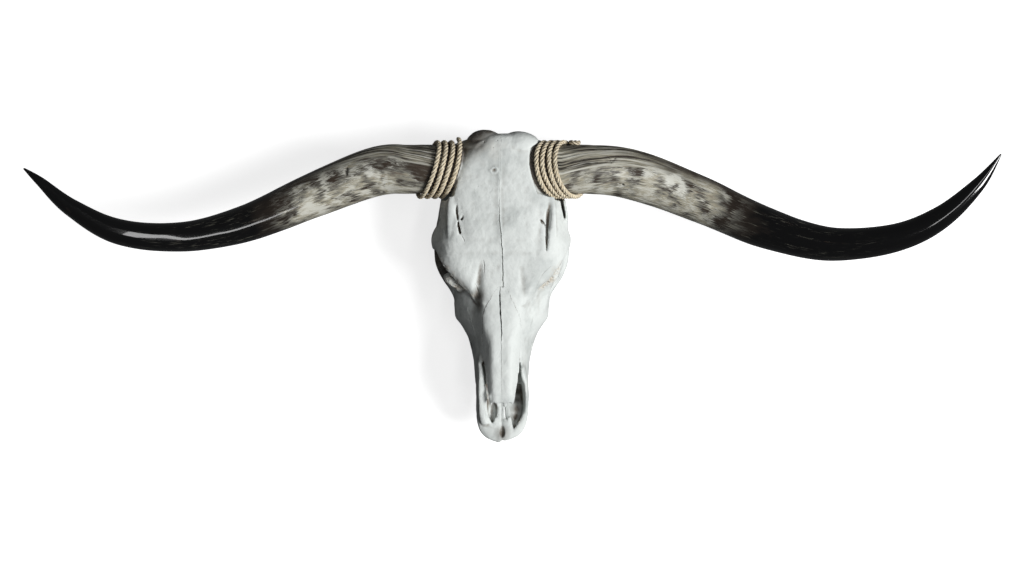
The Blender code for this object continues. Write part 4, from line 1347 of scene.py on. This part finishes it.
def horn_relief(side, out, source):
    """How far the surface stands off its smooth form, and the cracks' depth, on one line of grain."""
    turn = source - grain_twist(out)
    swell = 0.5 * noise.noise((out * 0.018, math.cos(turn) * 1.1, math.sin(turn) * 1.1 + side * 5))
    near_root = max(0.0, 1 - out / 330)
    rings = 0.22 * near_root * noise.noise((out * 0.075, math.cos(turn) * 0.6, math.sin(turn) * 0.6 + 3))
    # Cracks along the grain on the poll side, deepest at the rope.
    poll_ward = min(1.0, max(0.0, math.sin(math.radians(GROOVE_EDGE[side]) - source)) * 3.0)
    reach = max(0.0, 1 - out / GROOVE_REACH[side])
    around = Vector((math.cos(source), math.sin(source)))
    grain = noise.noise((out * 0.003 + 20, around.x * 5.5, around.y * 5.5 + side * 3.0))
    crack = max(0.0, 1 - abs(grain) / 0.14)
    fine = noise.noise((out * 0.005 + 50, around.x * 12.0, around.y * 12.0 + side * 4.0))
    hair = max(0.0, 1 - abs(fine) / 0.2)
    cracks = poll_ward * (1.8 * reach ** 0.6 * crack + 0.7 * reach * hair)
    return swell + rings - cracks, cracks


def scar_depth(side, out, turn, radius):
    """How deep a point lies in one of the cuts and knocks."""
    deepest = 0.0
    for middle, degrees, length, half, slant, depth in HORN_SCARS[side]:
        across = (turn - math.radians(degrees)) * radius
        lean = math.radians(slant)
        forward = (out - middle) * math.sin(lean) + across * math.cos(lean)
        sideways = (out - middle) * math.cos(lean) - across * math.sin(lean)
        shape = 1 - (2 * forward / length) ** 2
        if shape > 0:
            deepest = max(deepest, depth * max(0.0, 1 - abs(sideways) / (half * shape ** 0.5 + 1e-6)))
    return deepest


def spot_share(side, out, turn, radius):
    """How far a point lies inside one of the pale spots, from 0 to 1."""
    share = 0.0
    for middle, degrees, reach in HORN_SPOTS[side]:
        away = math.hypot(out - middle, (turn - math.radians(degrees)) * radius)
        share = max(share, 1.4 - away / reach)
    return min(1.0, share)


def horn(side):
    """The horn from the slanted end of the collar to its tip, with its grain stored along and round it."""
    path = smooth_path(mirrored(HORN_PATHS[side], side), HORN_STEPS)
    points = [at(*row[:3]) for row in path]
    bm = bmesh.new()
    grain_layer = bm.verts.layers.float_vector.new("grain")
    out_layer = bm.verts.layers.float.new("out")
    hollow_layer = bm.verts.layers.float.new("hollow")
    poll_layer = bm.verts.layers.float.new("poll_side")
    pale_layer = bm.verts.layers.float.new("pale")
    loops = []
    out = HORN_HIDDEN - (COLLAR_EDGE[side][0] + COLLAR_LENGTH)
    for i, row in enumerate(path):
        if i > 0:
            out += (points[i] - points[i - 1]).length / MM
        if out < -60:
            continue
        way = way_at(points, i)
        front = (Vector((0, 0, 1)) - way * way.z).normalized()
        across = way.cross(front) * side
        loop = []
        for source in circle(HORN_SIDES):
            relief, cracked = horn_relief(side, out, source)
            turn = source - grain_twist(out)
            signed = turn if turn <= math.pi else turn - 2 * math.pi
            scar = scar_depth(side, out, signed, row[3])
            fade = min(1.0, row[3] / 12)
            radius = row[3] + (relief - scar) * fade
            outward = front * math.cos(turn) + across * math.sin(turn)
            vert = bm.verts.new(points[i] + outward * radius * MM)
            vert[grain_layer] = (out * MM, row[3] * math.cos(source) * MM, row[3] * math.sin(source) * MM)
            vert[out_layer] = out * MM
            vert[hollow_layer] = min(1.0, cracked * 0.8 + scar)
            vert[pale_layer] = spot_share(side, out, signed, row[3])
            vert[poll_layer] = math.sin(math.radians(GROOVE_EDGE[side]) - source)
            loop.append(vert)
        loops.append(loop)
    join_rings(bm, loops)
    # The tip is closed by a small cap.
    tip = bm.verts.new(points[-1] + (points[-1] - points[-2]).normalized() * 1.2 * MM)
    tip[grain_layer] = (out * MM, 0, 0)
    tip[out_layer] = out * MM
    for j in range(HORN_SIDES):
        bm.faces.new((loops[-1][j], loops[-1][(j + 1) % HORN_SIDES], tip))
    bmesh.ops.recalc_face_normals(bm, faces=bm.faces)
    # Its root is cut along the slanted end of the collar.
    seat = [
        horn_point(side, collar_edge(side, turn, COLLAR_LENGTH), turn, HORN_RADIUS) for turn in circle(3)
    ]
    facing = (seat[1] - seat[0]).cross(seat[2] - seat[0]).normalized()
    if facing.x * side < 0:
        facing.negate()
    whole = bm.verts[:] + bm.edges[:] + bm.faces[:]
    bmesh.ops.bisect_plane(bm, geom=whole, plane_co=seat[0], plane_no=facing, clear_inner=True)
    bmesh.ops.holes_fill(bm, edges=[edge for edge in bm.edges if edge.is_boundary])
    return new_object(f"horn_{SIDE_NAMES[side]}_polished", bm)


HORN_BLACK = shade(0.002, 0.002, 0.0022)
HORN_BROWN = shade(0.045, 0.033, 0.024)
HORN_SLATE = shade(0.125, 0.12, 0.105)
HORN_GREY = shade(0.26, 0.25, 0.205)
HORN_TAN = shade(0.36, 0.33, 0.245)
HORN_CREAM = shade(0.60, 0.595, 0.53)
HORN_RUDDY = shade(0.10, 0.055, 0.035)
HORN_WHITE = shade(0.66, 0.66, 0.60)
HORN_CRACK = shade(0.012, 0.009, 0.007)
# How far out, in metres, the pale root fades and the black end begins.
HORN_FADE = {-1: (0.24, 0.36), 1: (0.26, 0.39)}
# How light each horn is beside the rope, as a share of its full tone.
RIM_TONE = {-1: 0.55, 1: 0.85}


def blend_steps(tree, value, stops):
    """A colour read off a row of (place, colour) stops."""
    ramp = node(tree, "ValToRGB", {0: value})
    band = ramp.color_ramp
    band.elements[0].position, band.elements[0].color = stops[0]
    band.elements[1].position, band.elements[1].color = stops[-1]
    for position, colour in stops[1:-1]:
        band.elements.new(position).color = colour
    return ramp.outputs[0]


def swing(tree, pattern, size):
    """A pattern made to swing as far below nought as above it."""
    return times(tree, minus(tree, pattern, 0.5), size)


def horn_finish(side):
    """Streaked keratin under polish: pale mottling near the root, brown streaks, then black."""
    material, tree, shader = new_material(f"polished_horn_{SIDE_NAMES[side]}")
    # Each horn has its own stretch of the same patterns.
    grain = vectors(tree, "ADD", stored(tree, "grain", "Vector"), (side * 2.0, 0.0, 0.0))
    out = stored(tree, "out")
    poll = stored(tree, "poll_side")
    broad = strokes(tree, grain, (8.0, 120.0, 120.0), 5.0)
    streak = strokes(tree, grain, (9.0, 260.0, 260.0), 3.0)
    fine = strokes(tree, grain, (26.0, 800.0, 800.0), 4.0)
    # Patches that lie across the horn, with ends torn along the grain.
    torn = plus(tree, swing(tree, streak, 0.05), swing(tree, fine, 0.03))
    shift = node(tree, "CombineXYZ", {0: torn}).outputs[0]
    moved = vectors(tree, "ADD", grain, shift)
    drawn = vectors(tree, "MULTIPLY", moved, (42.0, 36.0, 36.0))
    patches = mottle(tree, drawn, 1.0, 6.0, 0.66)
    flaked = vectors(tree, "MULTIPLY", moved, (75.0, 62.0, 62.0))
    flaked = vectors(tree, "ADD", flaked, (9.0, 4.0, 2.0))
    flakes = mottle(tree, flaked, 1.0, 7.0, 0.7)
    pale_end, black_start = HORN_FADE[side]
    rim = levels(tree, out, 0.0, 0.06, RIM_TONE[side], 1.0)
    outward = levels(tree, out, pale_end - 0.05, black_start + 0.02, 1.0, 0.0)
    cloudy = levels(tree, patches, 0.34, 0.68)
    tone = plus(tree, times(tree, cloudy, 0.60), times(tree, broad, 0.95))
    tone = minus(tree, tone, 0.22)
    tone = plus(tree, tone, swing(tree, fine, 0.8))
    if side < 0:
        # The left horn is lighter towards the muzzle.
        tone = times(tree, tone, levels(tree, poll, -1.0, -0.35, 1.25, 0.72))
    kept = times(tree, rim, levels(tree, outward, 0.0, 1.0, 0.2, 1.0))
    tone = times(tree, tone, kept, clamp=True)
    mottled = blend_steps(tree, tone, [
        (0.0, HORN_BROWN), (0.22, HORN_BROWN), (0.36, HORN_SLATE), (0.52, HORN_GREY), (0.70, HORN_TAN),
        (0.9, HORN_CREAM), (1.0, HORN_CREAM),
    ])
    # White flakes, and ruddy streaks between them.
    white = times(tree, levels(tree, flakes, 0.50, 0.57), levels(tree, patches, 0.42, 0.54))
    white = times(tree, white, levels(tree, kept, 0.45, 0.95, 0.0, 0.85))
    mottled = blended(tree, white, mottled, HORN_CREAM)
    between = levels(tree, flakes, 0.42, 0.52, 0.75, 0.0)
    ruddy = times(tree, levels(tree, broad, 0.58, 0.68), between)
    mottled = blended(tree, ruddy, mottled, HORN_RUDDY)
    # The weathered grain of the poll side: dark grooves between grey and tan streaks.
    lines = plus(tree, times(tree, streak, 0.85), times(tree, fine, 0.45))
    grooved = blend_steps(tree, levels(tree, lines, 0.45, 0.80), [
        (0.0, HORN_CRACK), (0.20, HORN_BROWN), (0.36, HORN_SLATE), (0.5, HORN_GREY), (0.66, HORN_TAN),
        (0.9, HORN_CREAM),
    ])
    ragged = plus(tree, poll, swing(tree, streak, 0.5))
    weathered = times(tree, levels(tree, ragged, 0.0, 0.22), levels(tree, out, 0.12, 0.27, 1.0, 0.0))
    colour = blended(tree, weathered, mottled, grooved)
    # The pale knocked spots, with flaked edges.
    spots = times(tree, stored(tree, "pale"), levels(tree, flakes, 0.36, 0.64, 0.3, 1.3))
    colour = blended(tree, levels(tree, spots, 0.40, 0.82, 0.0, 0.85), colour, HORN_WHITE)
    # Further out the poll side darkens first, then the whole horn, in ragged clouds.
    deep = times(tree, levels(tree, ragged, 0.1, 0.6), levels(tree, out, 0.08, 0.24, 0.0, 0.85))
    colour = blended(tree, deep, colour, HORN_BROWN)
    dark = levels(tree, out, pale_end - 0.01, black_start + 0.03, 0.0, 1.1)
    dark = plus(tree, dark, times(tree, minus(tree, patches, 0.58), -1.2))
    dark = times(tree, dark, levels(tree, out, pale_end - 0.05, pale_end + 0.04))
    dark = minus(tree, dark, levels(tree, broad, 0.58, 0.75, 0.0, 0.3), clamp=True)
    colour = blended(tree, dark, colour, HORN_BLACK)
    # Faint grey wisps show in the black.
    wisps = times(tree, levels(tree, fine, 0.56, 0.72), levels(tree, broad, 0.46, 0.62))
    faint = times(tree, wisps, levels(tree, out, black_start, 0.62, 0.55, 0.03))
    colour = blended(tree, faint, colour, HORN_GREY)
    # Dirt and painted shade darken the cracks and cuts.
    cracked = paint(tree, shader, colour, HORN_CRACK, 1.0, 25.0)
    # The polish is thin near the root and full on the black end, and the cracks have none.
    rough = levels(tree, out, 0.05, black_start, 0.42, 0.16)
    rough = plus(tree, rough, swing(tree, fine, 0.12))
    tree.links.new(rough, shader.inputs["Roughness"])
    coat = minus(tree, levels(tree, out, 0.06, black_start, 0.15, 1.0), cracked, clamp=True)
    tree.links.new(coat, shader.inputs["Coat Weight"])
    shader.inputs["Coat Roughness"].default_value = 0.04
    shader.inputs["Coat IOR"].default_value = 1.5
    shader.inputs["Specular IOR Level"].default_value = 0.25
    height = plus(tree, times(tree, streak, 0.9), times(tree, fine, 0.5))
    height = times(tree, height, levels(tree, out, 0.1, black_start, 1.0, 0.12))
    emboss(tree, shader, height, 0.5, 0.0008)
    return material


for side in both:
    piece = horn(side)
    piece.data.transform(LIE)
    dress(piece, horn_finish(side), 70)
    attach(piece, "root")
    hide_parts(f"horn_{SIDE_NAMES[side]}")


# ==================================================================== the collars
# The raw rim of each horn, left unpolished: a dull dark band between the bone and the lashing, frayed and
# grooved along the grain.

COLLAR_BORE = NECK_RADIUS + 0.35
COLLAR_EDGE_ROUNDING = 0.9
COLLAR_SIDES = 180
COLLAR_STEPS = 16


def collar(side):
    """A short tube between two slanted planes, with a frayed round edge and grooves outside."""
    bm = bmesh.new()
    profile = [(COLLAR_BORE, 0.0)]
    for i in range(4):
        turn = math.pi / 2 * i / 3
        radius = HORN_RADIUS - COLLAR_EDGE_ROUNDING + COLLAR_EDGE_ROUNDING * math.sin(turn)
        profile.append((radius, COLLAR_EDGE_ROUNDING * (1 - math.cos(turn))))
    for i in range(1, COLLAR_STEPS + 1):
        profile.append((HORN_RADIUS, 1.0 + (COLLAR_LENGTH - 1.4) * i / COLLAR_STEPS))
    profile.append((COLLAR_BORE, COLLAR_LENGTH - 0.35))
    loops = []
    for radius, offset in profile:
        loop = []
        for turn in circle(COLLAR_SIDES):
            fray = 0.8 * noise.noise((turn * 6, side * 2.0, 1.0)) if offset < 3 else 0.0
            grain = abs(noise.noise((turn * 14, offset * 0.03, side * 6.0)))
            rough = -0.8 * max(0.0, 1 - grain / 0.15) if radius > COLLAR_BORE else 0.0
            distance = collar_edge(side, turn, max(offset + fray, 0.0), radius)
            loop.append(bm.verts.new(horn_point(side, distance, turn, radius + rough)))
        loops.append(loop)
    join_rings(bm, [*loops, loops[0]])
    bmesh.ops.recalc_face_normals(bm, faces=bm.faces)
    return new_object(f"collar_{SIDE_NAMES[side]}_rim", bm)


COLLAR_BROWN = shade(0.060, 0.048, 0.038)
COLLAR_GREY = shade(0.135, 0.12, 0.10)


def collar_finish():
    """Dull brown horn with grey streaks along the grain."""
    material, tree, shader = new_material("raw_horn_rim")
    streaks = strokes(tree, own_place(tree), (60.0, 500.0, 500.0), 5.0)
    colour = blended(tree, levels(tree, streaks, 0.42, 0.7), COLLAR_BROWN, COLLAR_GREY)
    # Dirt and painted shade darken the grooves along the grain.
    paint(tree, shader, colour, HORN_CRACK, 1.0, 200.0)
    tree.links.new(levels(tree, streaks, 0.3, 0.7, 0.6, 0.85), shader.inputs["Roughness"])
    emboss(tree, shader, streaks, 0.6, 0.0006)
    return material


COLLAR = collar_finish()
for side in both:
    piece = collar(side)
    mark_hollows(piece.data, 4, 0.4)
    piece.data.transform(LIE)
    dress(piece, COLLAR, 50)
    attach(piece, "root")
    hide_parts(f"collar_{SIDE_NAMES[side]}")


# ==================================================================== the rope lashings
# Natural rope of three twisted strands, about 8 mm thick, wound four times round the root of each horn. On
# the poll side the left one's first end stands up, and the right one's last end runs out along the horn.

ROPE_PITCH = {-1: 12.2, 1: 10.6}
ROPE_TURNS = 4
# The gap between rope and horn, and how far a turn strays from its place.
ROPE_GAP = 0.25
ROPE_SLACK = 1.7
# Points of the path to one turn of the rope, and how many of them the last turn on the left is short.
TURN_POINTS = 36
LEFT_SHORT = 7
# How far the left rope's first points stand off the horn.
ROPE_LIFTS = (6.0, 3.2, 0.9)
# The right rope's tail: how far out along the horn, and how far round it.
ROPE_TAIL = ((2.2, 5.5), (6.5, 9.0), (12.0, 10.5), (17.0, 11.0))
# The length in which a strand goes once round the rope, and a yarn once round its strand.
STRAND_LAY = 25.0
YARN_LAY = 13.0
STRANDS = 3
STRAND_RADIUS = 2.4
YARNS = 6
ROPE_STEP = 1.25
STRAND_SIDES = 28
STRAY_FIBRES = 520


def rope_path(side):
    """Centre points of the rope, from its end at the poll side of the collar."""
    poll_side = -math.pi / 2
    lie = HORN_RADIUS + ROPE_DIAMETER / 2 + ROPE_GAP
    rows = []
    # On the left the last turn ends under the horn.
    wound = ROPE_TURNS * TURN_POINTS - (LEFT_SHORT if side < 0 else 0)
    for i in range(wound + 1):
        turn = poll_side + 2 * math.pi * i / TURN_POINTS
        slack = ROPE_SLACK * noise.noise((i * 0.12, side * 3.0, 0.0))
        distance = collar_edge(side, turn, ROPE_START[side] + ROPE_PITCH[side] * i / TURN_POINTS) + slack
        lift = np.interp(i / 2, range(len(ROPE_LIFTS) + 1), (*ROPE_LIFTS, 0.0)) if side < 0 else 0.0
        rows.append((distance, turn, lie + float(lift)))
    if side > 0:
        distance, end_turn = rows[-1][:2]
        for out, back in ROPE_TAIL:
            rows.append((distance + out, end_turn + back / lie, lie))
    path = smooth_path(rows, 3)
    return [horn_point(side, *row) for row in path]


def even_path(points, step):
    """The points read again at even steps along their line, and how far along it each lies."""
    lengths = [0.0]
    for a, b in zip(points, points[1:]):
        lengths.append(lengths[-1] + (b - a).length)
    count = int(lengths[-1] / step)
    spots = np.linspace(0, lengths[-1], count + 1)
    axes = [np.interp(spots, lengths, [p[k] for p in points]) for k in range(3)]
    return [Vector(p) for p in zip(*axes)], spots


def rope(side):
    """Three strands round each other, each ribbed by its own yarns."""
    points, spots = even_path(rope_path(side), ROPE_STEP * MM)
    axis = at(0, HORN_AXIS_ALONG, HORN_AXIS_UP)
    bm = bmesh.new()
    lay_layer = bm.verts.layers.float_vector.new("lay")
    hollow_layer = bm.verts.layers.float.new("hollow")
    frames = []
    for i, point in enumerate(points):
        way = way_at(points, i)
        out = point - axis
        out.x = 0
        out = (out - way * way.dot(out)).normalized()
        frames.append((way, out, way.cross(out)))
    core = (ROPE_DIAMETER / 2 - STRAND_RADIUS) * MM
    last = len(points) - 1
    for strand in range(STRANDS):
        loops = []
        for i, point in enumerate(points):
            _, out, across = frames[i]
            length = spots[i] / MM
            twist = 2 * math.pi * (strand / STRANDS + length / STRAND_LAY)
            spread = out * math.cos(twist) + across * math.sin(twist)
            round_way = across * math.cos(twist) - out * math.sin(twist)
            middle = point + spread * core
            # Both ends of the rope close to a blunt point.
            end = min(1.0, (min(i, last - i) + 0.6) / 2.2)
            loop = []
            for turn in circle(STRAND_SIDES):
                yarn = YARNS * (turn - 2 * math.pi * length / YARN_LAY)
                rib = 0.5 + 0.5 * math.cos(yarn)
                fuzz = 0.24 * noise.noise((length * 0.7, turn * 2.5, strand + side * 7.0))
                radius = (STRAND_RADIUS - 0.34 * (1 - rib) ** 1.5 + fuzz) * end
                facing = math.cos(turn)
                vert = bm.verts.new(middle + (spread * facing + round_way * math.sin(turn)) * radius * MM)
                vert[lay_layer] = (length * MM, turn * STRAND_RADIUS * MM - length * MM * 0.7, strand * 0.1)
                # Where painted shade goes: the side of a strand that faces into the rope, and the valleys
                # between its yarns.
                vert[hollow_layer] = min(1.0, max(0.0, 0.45 - facing) + 0.5 * (1 - rib) ** 2)
                loop.append(vert)
            loops.append(loop)
        join_rings(bm, loops)
        bm.faces.new(loops[0])
        bm.faces.new(loops[-1])
    add_stray_fibres(bm, points, frames, side, lay_layer)
    bmesh.ops.recalc_face_normals(bm, faces=bm.faces)
    return new_object(f"rope_{SIDE_NAMES[side]}_lashing", bm)


def add_stray_fibres(bm, points, frames, side, lay_layer):
    """Short fibres that stand off the rope, each a thin tapering sliver."""
    draw = random.Random(40 + side)
    for number in range(STRAY_FIBRES):
        i = draw.randrange(4, len(points) - 4)
        way, out, across = frames[i]
        turn = draw.uniform(-1.9, 1.9)
        up = out * math.cos(turn) + across * math.sin(turn)
        lean = way * draw.choice((-1, 1)) * draw.uniform(0.5, 1.2) + across * draw.uniform(-0.8, 0.8)
        length = draw.uniform(2.0, 6.5)
        start = points[i] + up * (ROPE_DIAMETER / 2 - 0.5) * MM
        thin = draw.uniform(0.05, 0.10)
        side_way = way.cross(up).normalized()
        loops = []
        for t in (0.0, 0.25, 0.5, 0.75, 1.0):
            rise = up * (length * (0.25 * t + draw.uniform(0.0, 0.08)))
            spot = start + (rise + lean * length * t * 0.6) * MM
            radius = thin * (1 - 0.85 * t) * MM
            loop = []
            for q in circle(3):
                vert = bm.verts.new(spot + (side_way * math.cos(q) + up * math.sin(q)) * radius)
                vert[lay_layer] = (number * 0.01 + t * 0.002, 0, 0.5)
                loop.append(vert)
            loops.append(loop)
        join_rings(bm, loops)
        bm.faces.new(loops[0])
        bm.faces.new(loops[-1])


ROPE_STRAW = shade(0.74, 0.60, 0.39)
ROPE_PALE = shade(1.0, 0.95, 0.78)
ROPE_BROWN = shade(0.24, 0.15, 0.075)
ROPE_SHADE = shade(0.035, 0.021, 0.012)


def rope_finish():
    """Dry straw-coloured fibre with brown yarns, and painted shade in the grooves between the strands."""
    material, tree, shader = new_material("natural_rope")
    lay = stored(tree, "lay", "Vector")
    fibres = strokes(tree, lay, (160.0, 3200.0, 60.0), 4.0, (0.0, 0.0, 0.6))
    yarns = strokes(tree, lay, (40.0, 700.0, 60.0), 2.0, (0.0, 0.0, 0.6))
    colour = blended(tree, levels(tree, fibres, 0.38, 0.66), ROPE_STRAW, ROPE_PALE)
    colour = blended(tree, levels(tree, yarns, 0.54, 0.70, 0.0, 0.8), colour, ROPE_BROWN)
    # Painted shade in the grooves between the strands and between the yarns.
    paint(tree, shader, colour, ROPE_SHADE, 1.0, 260.0)
    tree.links.new(levels(tree, fibres, 0.3, 0.7, 0.75, 0.95), shader.inputs["Roughness"])
    emboss(tree, shader, fibres, 0.8, 0.0004)
    return material


ROPE = rope_finish()
for side in both:
    piece = rope(side)
    piece.data.transform(LIE)
    dress(piece, ROPE)
    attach(piece, "root")
    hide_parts(f"rope_{SIDE_NAMES[side]}")


# ==================================================================== the studio
# A plain pale floor, one large soft light high on the right and a little towards the muzzle, a weak narrow
# one overhead, and a dim even fill. The camera looks straight down on the forehead.

FLOOR_GREYS = (shade(0.60, 0.60, 0.60), shade(0.62, 0.62, 0.62))


def floor():
    """The pale floor, lit a little from itself so that it stays even to its edges."""
    bm = bmesh.new()
    bmesh.ops.create_grid(bm, x_segments=1, y_segments=1, size=30)
    obj = new_object("studio_floor", bm)
    material, tree, shader = new_material("floor_paint")
    grain = mottle(tree, own_place(tree), 40.0, 4.0)
    tree.links.new(blended(tree, grain, *FLOOR_GREYS), shader.inputs["Base Color"])
    shader.inputs["Roughness"].default_value = 0.95
    shader.inputs["Specular IOR Level"].default_value = 0.1
    shader.inputs["Emission Color"].default_value = shade(1.0, 1.0, 1.0)
    shader.inputs["Emission Strength"].default_value = 0.76
    obj.data.materials.append(material)
    obj.visible_diffuse = False
    obj.visible_glossy = False
    return obj


floor()


def soft_light(name, place, target, size, power):
    """A rectangular light that shines towards a target."""
    lamp = bpy.data.lights.new(name, "AREA")
    lamp.shape = "RECTANGLE"
    lamp.size, lamp.size_y = size
    lamp.energy = power
    obj = bpy.data.objects.new(name, lamp)
    bpy.context.scene.collection.objects.link(obj)
    obj.location = place
    obj.rotation_mode = "QUATERNION"
    obj.rotation_quaternion = (Vector(target) - Vector(place)).to_track_quat("-Z", "X")


soft_light("key", (4.1, -1.3, 4.4), (0.0, 0.0, 0.1), (1.9, 2.4), 415)
soft_light("window", (0.8, -0.3, 3.0), (0.0, -0.1, 0.1), (0.3, 2.3), 14)

world = bpy.data.worlds.new("studio")
bpy.context.scene.world = world
world.use_nodes = True
fill = world.node_tree.nodes["Background"].inputs
fill["Color"].default_value = shade(0.96, 0.98, 1.0)
fill["Strength"].default_value = 0.07

bpy.context.scene.view_settings.view_transform = "Standard"

# The camera stands 3.2 m above the forehead and looks straight down the skull's own upward axis. One pixel
# of the image is 1.7 mm at the height of the forehead.
CAMERA_HEIGHT = 3200.0
CAMERA_OVER = (17.85, 270.0)
MM_PER_PIXEL = 1.7
IMAGE_WIDTH = 1024
camera_data = bpy.data.cameras.new("camera")
camera_data.sensor_width = 36.0
camera_data.lens = camera_data.sensor_width * CAMERA_HEIGHT / (IMAGE_WIDTH * MM_PER_PIXEL)
camera_data.clip_start, camera_data.clip_end = 0.05, 100
camera = bpy.data.objects.new("camera", camera_data)
bpy.context.scene.collection.objects.link(camera)
camera.matrix_world = LIE @ Matrix.Translation(at(*CAMERA_OVER, CAMERA_HEIGHT))
bpy.context.scene.camera = camera
